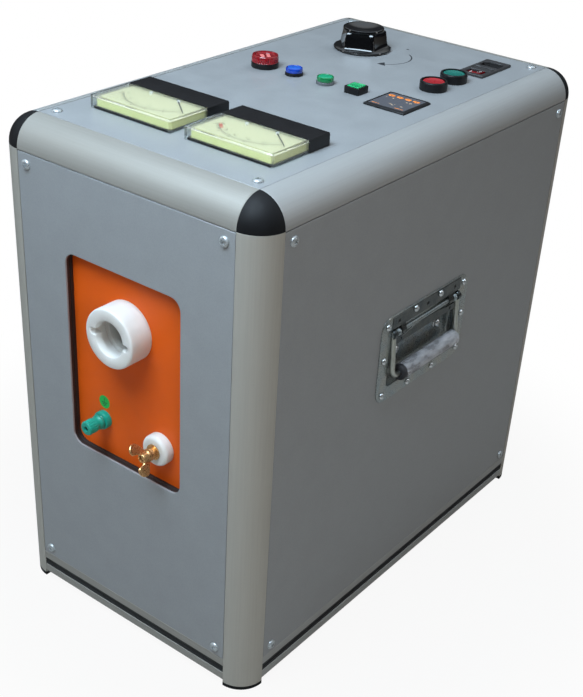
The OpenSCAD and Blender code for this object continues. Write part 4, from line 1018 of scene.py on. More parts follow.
class TESTER_OT_fasteners(bpy.types.Operator):
    """Build the panel screws and the rivets of the handles"""

    bl_idname = "tester.fasteners"
    bl_label = "Fasteners"

    def execute(self, context):
        x, y = HALF_W - EDGE_R - SCREW_IN, HALF_D - EDGE_R - SCREW_IN
        levels = (RAIL_TOP + 10, POST_TOP - SCREW_IN)
        spots = []
        for sx in (1, -1):
            for sy in (1, -1):
                spots.append(on_top(sx * x, sy * y))
            for z in levels:
                spots += [on_front(sx * x, z), on_rear(sx * x, z), on_right(sx * y, z), on_left(sx * y, z)]
        # Each head stops at its own angle
        head = pan_screw(sizes().screw_head / MM)
        shapes = [placed_by(place @ turned(k * 37), head) for k, place in enumerate(spots)]
        add_piece("panel_screws", joined(*shapes), Matrix.Identity(4), "screw", ["panel_fasteners"], smooth=40)
        shapes = []
        rivet = rivet_head(sizes().rivet_head / MM)
        screw = spin([
            (0, 0), (5.2, 0), (5.2, 1), (4.6, 2.2), (3.2, 3.1), (cross(2.4, 0.7), 3.2), (cross(2.1, 0.5), 2),
            (0, 2),
        ], 64)
        washer = spin([(0, 0), (6.6, 0), (6.6, 0.7), (6.2, 1), (0, 1)], 40)
        for place in (on_right(HANDLE_Y, HANDLE_Z), on_left(-HANDLE_Y, HANDLE_Z)):
            for rx, ry in RIVETS:
                seat = STRIP_TOP if ry > 40 else FLANGE_TOP
                shapes.append(placed_by(place, moved(rivet, rx, ry, seat)))
            for rx in (-39.5, 39.5):
                for item, z in ((washer, -8.5), (screw, -7.6)):
                    shapes.append(placed_by(place, moved(item, rx, -1, z)))
        add_piece("handle_rivets", joined(*shapes), Matrix.Identity(4), "rivet", smooth=40)
        return {"FINISHED"}


class TESTER_OT_bay(bpy.types.Operator):
    """Build the output bay with its spacer, bush, post and stud"""

    bl_idname = "tester.bay"
    bl_label = "Output bay"

    def execute(self, context):
        w, h, r = WINDOW
        # Two layers with a groove between them, which a third one fills further in
        layers = [
            plate(
                rounded(184 - less, 250 - less, 6, steps=4), [rounded(w + more, h + more, r, steps=10)],
                low, high, bevel, under,
            )
            for less, more, low, high, bevel, under in (
                (0, 0.6, -10, -6.4, 0.3, 0.2), (0, 0.6, -5.6, -2, 0.3, 0.2), (1, 3, -6.4, -5.6, 0, 0),
            )
        ]
        add_piece("bay_spacer", joined(*layers), on_front(WINDOW_X, WINDOW_Z), "spacer", ["window_spacer"])

        bore, slot_at, slot_r = 18.0, 20.5, 3.5

        def mouth(angle):
            """The bush's mouth: a bore with two round slots for the pins of the plug."""
            a = abs((angle + math.radians(5) + math.pi / 2) % math.pi - math.pi / 2)
            if a < math.radians(8.4):
                return slot_at + math.sqrt(max(0, slot_r ** 2 - (slot_at * math.sin(a)) ** 2))
            if a < math.radians(11.2):
                return slot_r / math.sin(a)
            return bore

        # Heights from here on are from the board's face
        bush = spin([
            (0, -66), (23.5, -66), (23.5, 0), (30, 0), (30, 23.6), (29.8, 24.8), (29.2, 25.6), (28.2, 26),
            (wider(mouth, 0.9), 26), (wider(mouth, 0.3), 25.7), (mouth, 25.1), (mouth, 17.2),
            (lambda a: max(mouth(a), bore + 0.2), 17), (23.4, 17), (23.4, 7), (bore + 0.3, 7), (bore, 6.6),
            (bore, -41), (0, -41),
        ], 360)
        add_piece("output_bush", bush, on_front(BUSH_X, BUSH_Z, -BOARD_IN), "bush", ["hv_bush"])

        def terminal(name, shape, side, finish, stands_for=(), body="cabinet", smooth=32):
            """A piece on the board: side is 1 at the stud and -1 at the earth post."""
            place = on_front(side * TERMINAL_X, TERMINAL_Z, -BOARD_IN)
            add_piece(name, shape, place, finish, stands_for, body, smooth)

        def washer(hole, r, low, high, chamfer):
            """A flat ring whose outer edges are broken."""
            return spin([
                (hole, low), (r - chamfer, low), (r, low + 0.2), (r, high - 0.2), (r - chamfer, high),
                (hole, high),
            ], 48, True)

        r, edge_r = 16.3, 4
        edge = arc(edge_r, 0, 90, 6, r - edge_r, 6.6)
        insulator = spin([(3.1, 0), (r, 0)] + edge + [(3.6, 10.6), (3.1, 10.3)], 72, True)
        terminal("stud_seat", insulator, 1, "bush", ["stud_insulator"])
        collar = spin([(3.1, 0), (9.4, 0), (9.4, 5.7), (9.1, 6.2), (8.6, 6.5), (3.1, 6.5)], 56, True)
        terminal("earth_collar", collar, -1, "earth", ["earth_post_collar"])

        def fluted(base):
            """A round head with 20 shallow flutes."""
            def radius(angle):
                return base - 0.5 * max(0.0, math.cos(angle * 20)) ** 0.6
            return radius

        head = spin([
            (3.3, 8.3), (7.6, 8.3), (7.7, 8.6), (7.7, 10.2), (7.4, 10.6), (6.7, 11.8), (6.55, 13.6),
            (7.0, 15.0), (7.3, 15.8), (fluted(7.4), 16.3), (fluted(7.4), 24.9), (fluted(7.0), 25.9),
            (6.2, 26.5), (5.2, 26.6), (3.0, 26.6), (2.6, 26.2), (2.5, 24.8), (3.3, 24.8),
        ], 200, True)
        terminal("earth_head", head, -1, "earth", ["earth_post_head"], body="post_head")
        ring = washer(3.4, 6.8, 6.8, 8, 0.2)
        terminal("earth_ring", ring, -1, "nickel", ["earth_post_ring"], body="post_ring")

        # The thread is drawn as ridges 1 mm apart, the pitch of an M6 stud
        thread = [(0, -22)]
        for height in range(-22, 25):
            thread += [(2.95, height), (2.5, height + 0.5)]
        thread += [(2.4, 25.4), (2.0, 25.9), (0, 25.9)]
        stud = spin(thread, 36)
        flat_washer = washer(3.1, 8.1, 10.6, 11.8, 0.1)
        spring_washer = spin([
            (3.1, 11.8), (5.6, 11.8), (5.7, 12.0), (5.7, 12.9), (5.6, 13.0), (3.1, 13.0),
        ], 48, True)
        nut = spin([
            (3.05, 13.0), (hexagon(10, 5.2), 13.0), (hexagon(10, 5.8), 13.5), (hexagon(10, 5.8), 16.2),
            (hexagon(10, 5.1), 16.8), (3.5, 16.8), (3.05, 16.5),
        ], 96, True)
        lock = spin([(3.1, -11), (hexagon(10, 5.8), -11), (hexagon(10, 5.8), -6), (3.1, -6)], 96, True)
        terminal("stud_parts", joined(stud, flat_washer, spring_washer, nut, lock), 1, "brass", ["return_stud"])
        loose = washer(3.3, 6.5, 17.1, 18.1, 0.2)
        terminal("stud_washer", loose, 1, "brass", ["wing_washer"], body="return_washer")

        boss = spin([
            (3.3, 0), (6, 0), (6.2, 0.3), (6.2, 1.3), (5.7, 2), (5.2, 4), (5.0, 8), (4.6, 8.8), (3.9, 9),
            (3.4, 8.8), (3.0, 7.6), (3.3, 7.2),
        ], 56, True)
        ear_r = 6.3
        outline = (
            [(2.6, 1.2), (5.8, 0.9), (9.0, 3.2), (12.4, 5.4)]
            + arc(ear_r, -66, 128, 18, 17 - ear_r, 11.6)
            + [(6.0, 13.2), (5.0, 9.2), (2.6, 8.0)]
        )
        wing = plate(outline, (), -1.3, 1.3, 0.55, 0.55)
        wings = [moved(wing, turn=turned(side) @ turned(90, "X")) for side in (0, 180)]
        nut = moved(joined(boss, *wings), 0, 0, 18.4, turned(-55))
        terminal("stud_wing_nut", nut, 1, "brass", ["wing_nut"], body="return_nut", smooth=38)

        place = on_front(SIGN_X, SIGN_Z, -BOARD_IN)
        sign = plate(disc(7.1, steps=40), (), 0, 0.15, 0)
        add_piece("earth_sticker", sign, place, "earth_sign")
        bars = [
            plate(rounded(w, h, 0.2, 0, y, 2), (), 0.15, 0.2, 0)
            for w, h, y in ((7.6, 0.7, -0.6), (5.0, 0.7, -2.3), (2.4, 0.7, -4.0), (0.7, 4.6, 1.9))
        ]
        add_piece("earth_sign_lines", joined(*bars), place, "ink")
        return {"FINISHED"}


def dish_shape():
    """The pressed dish with its flange, rolled edges and round floor corners."""
    def grown(w, h, y, rows):
        """Rows for stacked, each as much larger than w and h as it says first."""
        return [(w + more, h + more, r, z, y) for more, r, z in rows]

    back = ((-14, 4, -10), (-5, 5, -9.9), (-0.5, 6.5, -8.8), (3, 7, -7), (3, 7, -0.1))
    flange = ((-0.6, 14.8, 0), (0, 15, 0.4), (0, 15, 1.0), (-0.6, 14.7, 1.35), (-1.4, 14.3, FLANGE_TOP))
    front = (
        (2.4, 6.7, FLANGE_TOP), (1.0, 6.2, 1.25), (0.2, 5.7, 0.5), (0, 5.5, -0.4), (0, 5.5, -5.6),
        (-0.8, 5.2, -7.0), (-2.6, 4.6, -8.1), (-5.6, 3.8, -8.5),
    )
    return stacked(
        grown(DISH_W, DISH_H, DISH_UP, back) + grown(FLANGE_W, FLANGE_H, 0, flange)
        + grown(DISH_W, DISH_H, DISH_UP, front), 7,
    )


def bail_place(down=0.0):
    """Where a bail is at rest: on its hinge, leaning into the dish; down moves along its arms."""
    hinge = Matrix.Translation((0, HINGE_UP, HINGE_IN))
    return hinge @ turned(-BAIL_REST, "X") @ Matrix.Translation((0, -down, 0))


class TESTER_OT_handles(bpy.types.Operator):
    """Build the two spring handles"""

    bl_idname = "tester.handles"
    bl_label = "Handles"

    def execute(self, context):
        dish = dish_shape()
        spots, hole_up, hole_r = (-52, 0, 52), STRIP_UP - 0.3, 2.0
        strip = plate(
            rounded(126, 13.4, 1.2, 0, STRIP_UP, 3), [disc(hole_r, x, hole_up, 20) for x in spots],
            STRIP_TOP - STRIP_T, STRIP_TOP, 0.35,
        )
        roll = [(36.5, 1.9), (34.4, 1.95), (32.8, 2.4), (31.4, 3.0)] + arc(3.4, 45, 330, 19, HINGE_UP, HINGE_IN)
        knuckles = [
            placed_by(along_x(), ribbon(roll, [STRIP_T] * len(roll), x - 4, x + 4))
            for x in (-KNUCKLE_X, KNUCKLE_X)
        ]
        strip = joined(strip, *knuckles)
        # Dark discs at the foot of the strip's holes: painted shade where the holes show only shadow
        hole = spin([(0, 0), (hole_r, 0), (hole_r, 0.1), (0, 0.1)], 20)
        painted_hole_shade = joined(*[moved(hole, x, hole_up, FLANGE_TOP) for x in spots])

        reach = ARM_X + ROD_R + 0.4
        pin = moved(
            spin([(0, -reach), (2.5, -reach), (2.5, reach), (0, reach)], 24),
            0, HINGE_UP, HINGE_IN, turned(90, "Y"),
        )
        wire = sizes().spring_wire / MM / 2
        turns, length = 4, 5.0
        loops = arc(3.6, 0, 360 * turns, turns * 14, HINGE_UP, HINGE_IN)
        coils = []
        for side in (-1, 1):
            low = side * (ARM_X - 7) - length / 2
            path = [(low + length * k / (len(loops) - 1), y, z) for k, (y, z) in enumerate(loops)]
            coils.append(tube(path, wire, 8))

        straight = BAIL_REACH - BEND_R
        half = [(-ARM_X, 3)] + [(-ARM_X, -straight * k / 6) for k in range(7)]
        half += arc(BEND_R, 192, 270, 6, BEND_R - ARM_X, -straight) + [(-20, -BAIL_REACH)]
        rod = tube(level(half + [(-x, y) for x, y in reversed(half)], 0), ROD_R, 20)
        eye = spin([(2.8, -2.6), (4.4, -2.6), (4.8, -2.2), (4.8, 2.2), (4.4, 2.6), (2.8, 2.6)], 40, True)
        eyes = [moved(eye, x, 0, 0, turned(90, "Y")) for x in (-ARM_X, ARM_X)]
        edge = [(ARM_X, -12.5), (ARM_X, -6), (38, -6), (34, -4.6), (27, -4.6), (25, -3.4)]
        tab = [(-ARM_X, -12.5)] + edge + [(-x, y) for x, y in edge[:0:-1]]
        flap = plate(tab, [disc(1.5, x, -9.2, 16) for x in (-46, 46)], -0.8, 0.8, 0.3, 0.3)
        bail = placed_by(bail_place(), rod)
        flap = placed_by(bail_place(), joined(*eyes, flap))

        end, swell_r = GRIP_LEN / 2, 2.2
        swell = arc(swell_r, 90, 0, 6, GRIP_R - swell_r, end - swell_r)
        rows = [(3.1, -end)] + [(x, -z) for x, z in swell] + swell[::-1] + [(3.1, end)]
        grip = placed_by(bail_place(BAIL_REACH) @ turned(90, "Y"), spin(rows, 48, True))
        for side, place in (("right", on_right(HANDLE_Y, HANDLE_Z)), ("left", on_left(-HANDLE_Y, HANDLE_Z))):
            body = side + "_handle"
            add_piece(side + "_dish", dish, place, "zinc", [side + "_handle_dish"], smooth=40)
            # The strip and the flap: zinc painted darker as a painted dark reflection
            add_piece(side + "_strip", strip, place, "strip")
            # Painted shade in the strip's holes, in the spacer's black
            add_piece(side + "_strip_hole_painted_shade", painted_hole_shade, place, "spacer")
            add_piece(
                side + "_pin", joined(pin, *coils), place, "zinc", ["handle_hinges"] if side == "right" else (),
            )
            add_piece(side + "_rod", bail, place, "rod", [side + "_bail"], body=body, smooth=38)
            add_piece(side + "_flap", flap, place, "strip", body=body, smooth=38)
            add_piece(side + "_hand_grip", grip, place, "grip", [side + "_grip"], body=body)
            add_piece(side + "_film", self.film(side), place, "film", body=body, smooth=60)
        return {"FINISHED"}

    def film(self, side):
        """The creased clear film round the grip, open at its ends, and never nearer to it than 0.04 mm."""
        low, high = (-43.0, 56.0) if side == "right" else (-56.0, 43.0)
        count, steps = 70, 72
        points, faces = [], []
        for shell in (0.0, -0.1):
            for k in range(count + 1):
                x = low + (high - low) * k / count
                for j in range(steps):
                    a = math.tau * j / steps
                    spot = Vector((x * 0.045, 1.9 * math.cos(a) + 7, 1.9 * math.sin(a)))
                    crease = noise.noise(spot) + 0.5 * abs(noise.noise(spot * 2.7))
                    edge = min(x - low, high - x)
                    flare = 0.5 * max(0.0, 1 - edge / 5) * noise.noise(Vector((a * 1.4, x * 0.2, 3)))
                    r = max(GRIP_R + 0.24 + 0.3 * crease + flare, GRIP_R + 0.14) + shell
                    points.append(Vector((x, r * math.cos(a), r * math.sin(a))))
        size = (count + 1) * steps
        for k in range(count):
            for j in range(steps):
                a, b = k * steps + j, k * steps + (j + 1) % steps
                c, d = b + steps, a + steps
                faces.append((a, b, c, d))
                faces.append((a + size, d + size, c + size, b + size))
        for k in (0, count):
            for j in range(steps):
                a, b = k * steps + j, k * steps + (j + 1) % steps
                faces.append((a, a + size, b + size, b))
        return placed_by(bail_place(BAIL_REACH), (points, faces))


# Sizes of a meter, from where its clear front meets the black band
METER_W, CLEAR_D, BAND_D, METER_H = 101.0, 50.0, 31.0, 12.6
WALL_IN, ROOF_T, BASE_T = 2.0, 1.4, 2.0
DIAL_Z, DIAL_T = 9.0, 0.8
PIVOT_Y = 11.0
SCALE_R, FIGURE_R = 47.5, 42.8
# The scale's ends, in degrees from +X
SCALE_START, SCALE_END = -39.8, -140.2


class TESTER_OT_meters(bpy.types.Operator):
    """Build the two panel meters"""

    bl_idname = "tester.meters"
    bl_label = "Meters"

    def execute(self, context):
        for name, x in METERS:
            self.one(name, x)
        return {"FINISHED"}

    def one(self, name, x):
        """One meter, whose clear front meets its black band on the line of METER_Y."""
        place = on_top(x, METER_Y)
        first = name == "leakage"
        half, top = METER_W / 2, METER_H
        corner_r = 2.2
        corner = arc(corner_r, 0, 90, 6, BAND_D - corner_r, top - corner_r)
        section = [(0.1, 0), (BAND_D - 0.3, 0), (BAND_D, 0.4)] + corner + [
            (0.1, top), (0.1, top - ROOF_T), (BAND_D - 4.4, top - ROOF_T), (BAND_D - WALL_IN, top - 3.6),
            (BAND_D - WALL_IN, BASE_T), (0.1, BASE_T),
        ]
        lid = plate(section, (), WALL_IN - half, half - WALL_IN, 0)
        cheek = section[:-5]
        ends = [
            plate(cheek, (), half - WALL_IN, half, 0.7, 0), plate(cheek, (), -half, WALL_IN - half, 0, 0.7),
        ]
        band = placed_by(along_x(), joined(lid, *ends))
        base = plate(rounded(96.2, 78, 1.5, 0, -9, 3), [disc(26.5, 0, METER_HOLE_Y, 40)], 0, BASE_T, 0.3)
        bridge = plate(rounded(54, 8, 1, 0, PIVOT_Y, 2), [disc(0.9, 0, PIVOT_Y, 12)], 0, BASE_T, 0.2)
        can = moved(spin([
            (0, -36), (28.4, -36), (29, -35.4), (29, 0.4), (26.5, 0.4), (26.5, -33.5), (0, -33.5),
        ], 56), 0, METER_HOLE_Y)
        add_piece(
            name + "_meter_band", joined(band, base, bridge, can), place, "meter_black",
            ["meter_housings"] if first else (), smooth=40,
        )

        w, d, y = METER_W, CLEAR_D, -CLEAR_D / 2
        cover = stacked([
            (w, d, 1.2, 0, y), (w, d, 1.2, top - 0.9, y), (w - 0.5, d - 0.5, 1.0, top - 0.25, y),
            (w - 1.6, d - 1.6, 0.6, top, y),
        ], 3, False)
        w, d, y = w - 2 * WALL_IN, d - WALL_IN, y + WALL_IN / 2
        inside, inside_faces = stacked([
            (w, d, 0.5, 0, y), (w, d, 0.5, top - ROOF_T - 0.5, y), (w - 1, d - 0.6, 0.3, top - ROOF_T, y + 0.2),
        ], 3, False)
        points, faces = joined(cover, (inside, [f[::-1] for f in inside_faces]))
        n, start = len(inside) // 3, len(cover[0])
        faces.append(tuple(range(3 * n, 4 * n)))
        faces.append(tuple(range(start + 2 * n, start + 3 * n))[::-1])
        faces += [(k, start + k, start + (k + 1) % n, (k + 1) % n) for k in range(n)]
        add_piece(
            name + "_meter_cover", (points, faces), place, "acrylic", ["meter_covers"] if first else (),
            smooth=12,
        )
        self.dial(name, place, first)

    def dial(self, name, place, first):
        """The dial with its print, its pegs and the movement under it."""
        w, front, back = METER_W - 9.0, 4.5 - CLEAR_D, PIVOT_Y + 4
        mid_y, depth = (front + back) / 2, back - front
        sheet = plate(
            rounded(w, depth, 1.6, 0, mid_y, 4), [disc(11, 0, PIVOT_Y, 40)], DIAL_Z - DIAL_T, DIAL_Z, 0.15,
        )
        add_piece(name + "_dial", sheet, place, "dial", ["meter_dials"] if first else ())
        # The skirt under the dial takes the rim's colour: painted light for the light that comes in through the
        # clear front
        skirt = plate(
            rounded(w - 0.4, depth - 0.4, 1.4, 0, mid_y, 4), [rounded(w - 3, depth - 3, 1, 0, mid_y, 4)],
            BASE_T, DIAL_Z - DIAL_T, 0.1,
        )
        add_piece(name + "_dial_rim", skirt, place, "dial_rim_painted_light")
        wide = sizes().tick_width / MM
        ink_top = DIAL_Z + 0.03
        bow = arc(SCALE_R, SCALE_START, SCALE_END, 48, 0, PIVOT_Y)
        marks = [ribbon(bow, [0.45] * len(bow), DIAL_Z, ink_top)]
        for k in range(51):
            a = math.radians(SCALE_START + (SCALE_END - SCALE_START) * k / 50)
            long = k % 10 == 0
            reach = 52.2 if long else (50.8 if k % 5 == 0 else 49.8)
            path = [(r * math.cos(a), r * math.sin(a) + PIVOT_Y) for r in (SCALE_R, reach)]
            marks.append(ribbon(path, [wide if long else wide * 0.55] * 2, DIAL_Z, ink_top))
        step = 10 if name == "output" else 1
        height = sizes().figure_height / MM
        for k in range(6):
            angle = SCALE_START + (SCALE_END - SCALE_START) * k / 5
            a = math.radians(angle)
            marks.append(moved(
                figures(str(step * k), height), FIGURE_R * math.cos(a), FIGURE_R * math.sin(a) + PIVOT_Y,
                DIAL_Z + 0.01, turned(angle + 270),
            ))
        add_piece(name + "_dial_marks", joined(*marks), place, "ink")
        if name == "output":
            zone = ribbon(arc(45.7, -127, SCALE_END, 14, 0, PIVOT_Y), [3.2] * 15, DIAL_Z, DIAL_Z + 0.02)
            add_piece(name + "_dial_zone", zone, place, "red_ink")
        peg = spin([(0, 0), (1.7, 0), (1.7, 1.5), (1.5, 1.8), (0.5, 1.8), (0.5, 1.4), (0, 1.4)], 24)
        pegs = joined(*[moved(peg, px, -3, DIAL_Z) for px in (-17.5, 17.5)])
        add_piece(name + "_dial_pegs", pegs, place, "peg")
        coil = moved(spin([
            (1.2, 2), (7.5, 2), (8, 2.6), (8, 7.1), (7.6, 7.6), (1.2, 7.6),
        ], 40, True), 0, PIVOT_Y)
        frame_bar = plate(rounded(16, 5, 1, 0, PIVOT_Y, 3), [disc(1.2, 0, PIVOT_Y, 16)], 7.6, 8.6, 0.2)
        add_piece(name + "_movement", joined(coil, frame_bar), place, "movement")


def panel_nut(hole_r, across):
    """The hexagon ring that holds a control from under the panel."""
    outline = hexagon(across, across)
    return spin([(hole_r, -6), (outline, -6), (outline, -2), (hole_r, -2)], 60, True)


def lamp_collar(d, h, bore, depth, stem_d):
    """A lamp's round collar, with its stem through the panel and its nut."""
    r, stem_r = d / 2, stem_d / 2
    body = spin([
        (bore, -depth + 4), (stem_r, -depth), (stem_r, 0), (r - 0.3, 0), (r, 0.3), (r, h - 0.9),
        (r - 0.25, h - 0.3), (r - 0.8, h), (bore + 0.3, h), (bore, h - 0.3),
    ], 80, True)
    return joined(body, panel_nut(stem_r + 0.1, stem_d + 8))


class TESTER_OT_lamps(bpy.types.Operator):
    """Build the lamps, the key and the push buttons"""

    bl_idname = "tester.lamps"
    bl_label = "Lamps, key and buttons"

    def execute(self, context):
        small_collar = lamp_collar(18.8, 3.2, 6.8, 26, 16)
        key = stacked_squares([
            (16, 4, -26), (16, 4, 0), (17.6, 0.8, 0), (17.6, 0.8, 6.5), (17.2, 0.7, 6.9), (16.6, 0.6, 7),
            (15.0, 0.5, 7), (14.6, 0.5, 6.7), (14.6, 0.5, 3.2), (6, 0.4, 3.2),
        ], 3)
        black = joined(
            moved(lamp_collar(28.7, 5.5, 9.6, 30, 22), BEACON_X, ROW_Y), moved(small_collar, BLUE_X, ROW_Y),
            moved(key, KEY_X, ROW_Y),
        )
        add_piece("lamp_collars", black, on_top(), "meter_black", ["lamp_bodies"])
        add_piece("green_collar", small_collar, on_top(GREEN_X, ROW_Y), "grey_collar", ["green_lamp_collar"])
        self.beacon(on_top(BEACON_X, ROW_Y))
        self.small_lamp("blue", on_top(BLUE_X, ROW_Y))
        self.small_lamp("green", on_top(GREEN_X, ROW_Y))
        cap = stacked_squares([
            (10, 2, -14), (10, 2, 6.0), (13.9, 0.6, 6.0), (14.0, 0.6, 7.2), (13.6, 0.6, 7.6), (12.7, 0.5, 7.75),
            (10.8, 0.5, 7.75), (10.4, 0.5, 7.6), (10.0, 0.4, 7.55),
        ], 3)
        add_piece("key_cap", cap, on_top(KEY_X, ROW_Y), "key_cap", ["square_key_cap"], body="square_key")
        self.push_buttons()
        return {"FINISHED"}

    def beacon(self, place):
        """The red lens with its ribs, two pale bars on its top that are painted highlights, and the lamp and
        reflector that show in it.
        """
        def ribbed(r, depth):
            return lambda a: r + depth * math.cos(a * 36)

        lens_shape = spin([
            (9.2, 5.7), (13.9, 5.7), (ribbed(13.7, 0.35), 6.2), (ribbed(13.65, 0.35), 10.6), (13.75, 11.0),
            (13.6, 12.2), (13.2, 12.7), (12.6, 12.85), (11.4, 12.85), (11.0, 12.5), (10.8, 11.6), (10.4, 11.3),
            (4.0, 11.1), (0, 11.1), (0, 9.8), (8, 9.8), (ribbed(9.2, 0.5), 8.6),
        ], 288, True)
        add_piece("beacon", lens_shape, place, "red_lens", ["beacon_lens"], smooth=30)
        # Two pale pink bars on the lens top: painted highlights
        bar = plate(rounded(9.6, 4.0, 1.8, 0, 0, 5), (), 0, 0.25, 0.1)
        glow = [
            moved(bar, out * math.cos(0.9), out * math.sin(0.9), 11.15, turned(141)) for out in (3.2, -3.2)
        ]
        add_piece("beacon_painted_highlights", joined(*glow), place, "lamp_painted_highlight")
        bulb = spin([(0, -6), (3, -6), (3, 2), (2.6, 5), (1.6, 7), (0, 7.6)], 32)
        reflector = spin([(3.2, -4), (8.6, 2.8), (8.9, 2.8), (3.6, -4.6)], 48, True)
        add_piece("beacon_reflector", joined(bulb, reflector), place, "nickel")

    def small_lamp(self, name, place):
        """A small lens, with a paler disc on its top: painted light, the flat top shown lighter where light
        falls on it.
        """
        body = spin([
            (0, 0.6), (6.6, 0.6), (6.6, 3.25), (8.7, 3.3), (8.85, 3.6), (8.8, 6.5), (8.5, 7.4), (8.0, 7.75),
            (7.6, 7.75), (7.3, 7.6), (7.1, 7.2), (0, 7.15),
        ], 64)
        add_piece(name + "_lamp", body, place, name + "_lens", [name + "_lens"])
        top = spin([(0, 7.15), (7.05, 7.2), (6.9, 7.4), (5.2, 7.6), (0, 7.7)], 56)
        add_piece(name + "_lamp_painted_lit_top", top, place, name + "_top")

    def push_buttons(self):
        """The two round buttons: rings that stay, and caps that travel in them."""
        r = 14.2
        ring = spin([
            (8, -32), (11, -32), (11, 0), (r - 0.3, 0), (r, 0.3), (r, 7.2), (r - 0.15, 8.3), (r - 0.6, 9.1),
            (r - 1.2, 9.4), (12.1, 9.4), (11.8, 9.2), (11.7, 1.2), (8, 1.2),
        ], 80, True)
        ring = joined(ring, panel_nut(11.1, 30))
        rings = joined(*[moved(ring, BUTTON_X, y) for y in (RED_Y, GREEN_Y)])
        add_piece("button_rings", rings, on_top(), "meter_black", ["button_bezels"])
        push = spin([
            (0, -24), (4, -24), (4, 5), (11.3, 5), (11.35, 7.2), (11.2, 7.9), (10.8, 8.4), (10.2, 8.6),
            (9.2, 8.58), (7.5, 8.2), (4, 8.0), (0, 7.9),
        ], 72)
        for name, y in (("red", RED_Y), ("green", GREEN_Y)):
            add_piece(
                name + "_push_cap", push, on_top(BUTTON_X, y), name + "_cap", [name + "_button"],
                body=name + "_push",
            )


class TESTER_OT_timer(bpy.types.Operator):
    """Build the panel timer"""

    bl_idname = "tester.timer"
    bl_label = "Timer"

    def execute(self, context):
        place = on_top(TIMER_X, ROW_Y)
        film_top, key_top = 2.3, 2.55

        def marks(rows):
            """Small rounded marks on the film: each row is width, height, X and Y."""
            return joined(*[
                plate(rounded(w, h, min(w, h) * 0.45, x, y, 3), (), film_top, film_top + 0.06, 0)
                for w, h, x, y in rows
            ])

        case = stacked_squares([
            (44.6, 0.6, -78), (44.6, 0.6, 0), (48, 1.0, 0), (48, 1.0, 1.2), (47.4, 1.0, 1.6), (44.4, 1.0, 2.6),
            (42.4, 1.0, 2.7), (42, 1.0, 2.5), (41.8, 1.0, 1.6),
        ], 4)
        add_piece("timer_body", case, place, "meter_black", ["timer_case"], smooth=25)
        film_sheet = plate(rounded(41.5, 41.5, 1.4, steps=5), (), 1.6, film_top, 0.2)
        add_piece("timer_front", film_sheet, place, "timer_film", ["timer_face"])
        outlines = [rounded(7.4, 4.4, 2.1, -14.6 + 9.6 * k, 12.9, 6) for k in range(3)]
        outlines.append([
            (10.4, 14.6), (10.4, 11.8), (12.6, 10.9), (14.0, 9.9), (15.4, 10.9), (17.6, 11.8), (17.6, 14.6),
        ])
        keys = [plate(outline, (), film_top, key_top, 0.12) for outline in outlines]
        add_piece("timer_keys", joined(*keys), place, "timer_key")
        signs = []
        for k in range(4):
            x = -14.6 + 9.55 * k
            triangle = [(x - 1.2, 12.4), (x + 1.2, 12.4), (x, 13.9)]
            signs.append(plate(triangle, (), key_top, key_top + 0.03, 0))
        add_piece("timer_key_signs", joined(*signs), place, "ink")
        add_piece("timer_marks", marks((
            (1.6, 1.2, -8.8, 6.5), (1.4, 0.9, -16.5, 6.2), (1.7, 1.2, 8.2, 4.6), (2.4, 0.8, 12.9, 5.1),
            (1.4, 0.8, 12.3, 3.6), (3.4, 0.8, -1.2, -9.6), (2.6, 0.8, 1.6, -11.4), (1.4, 0.8, 3.0, -8.6),
            (3.2, 0.8, 11.5, -10.2),
        )), place, "cream")
        add_piece("timer_bars", marks((
            (6.4, 1.0, -15.2, -17.2), (2.0, 1.0, -10.4, -17.2), (6.0, 1.0, 11.2, -17.0),
            (3.2, 1.0, 16.4, -17.0),
        )), place, "timer_key")
        return {"FINISHED"}


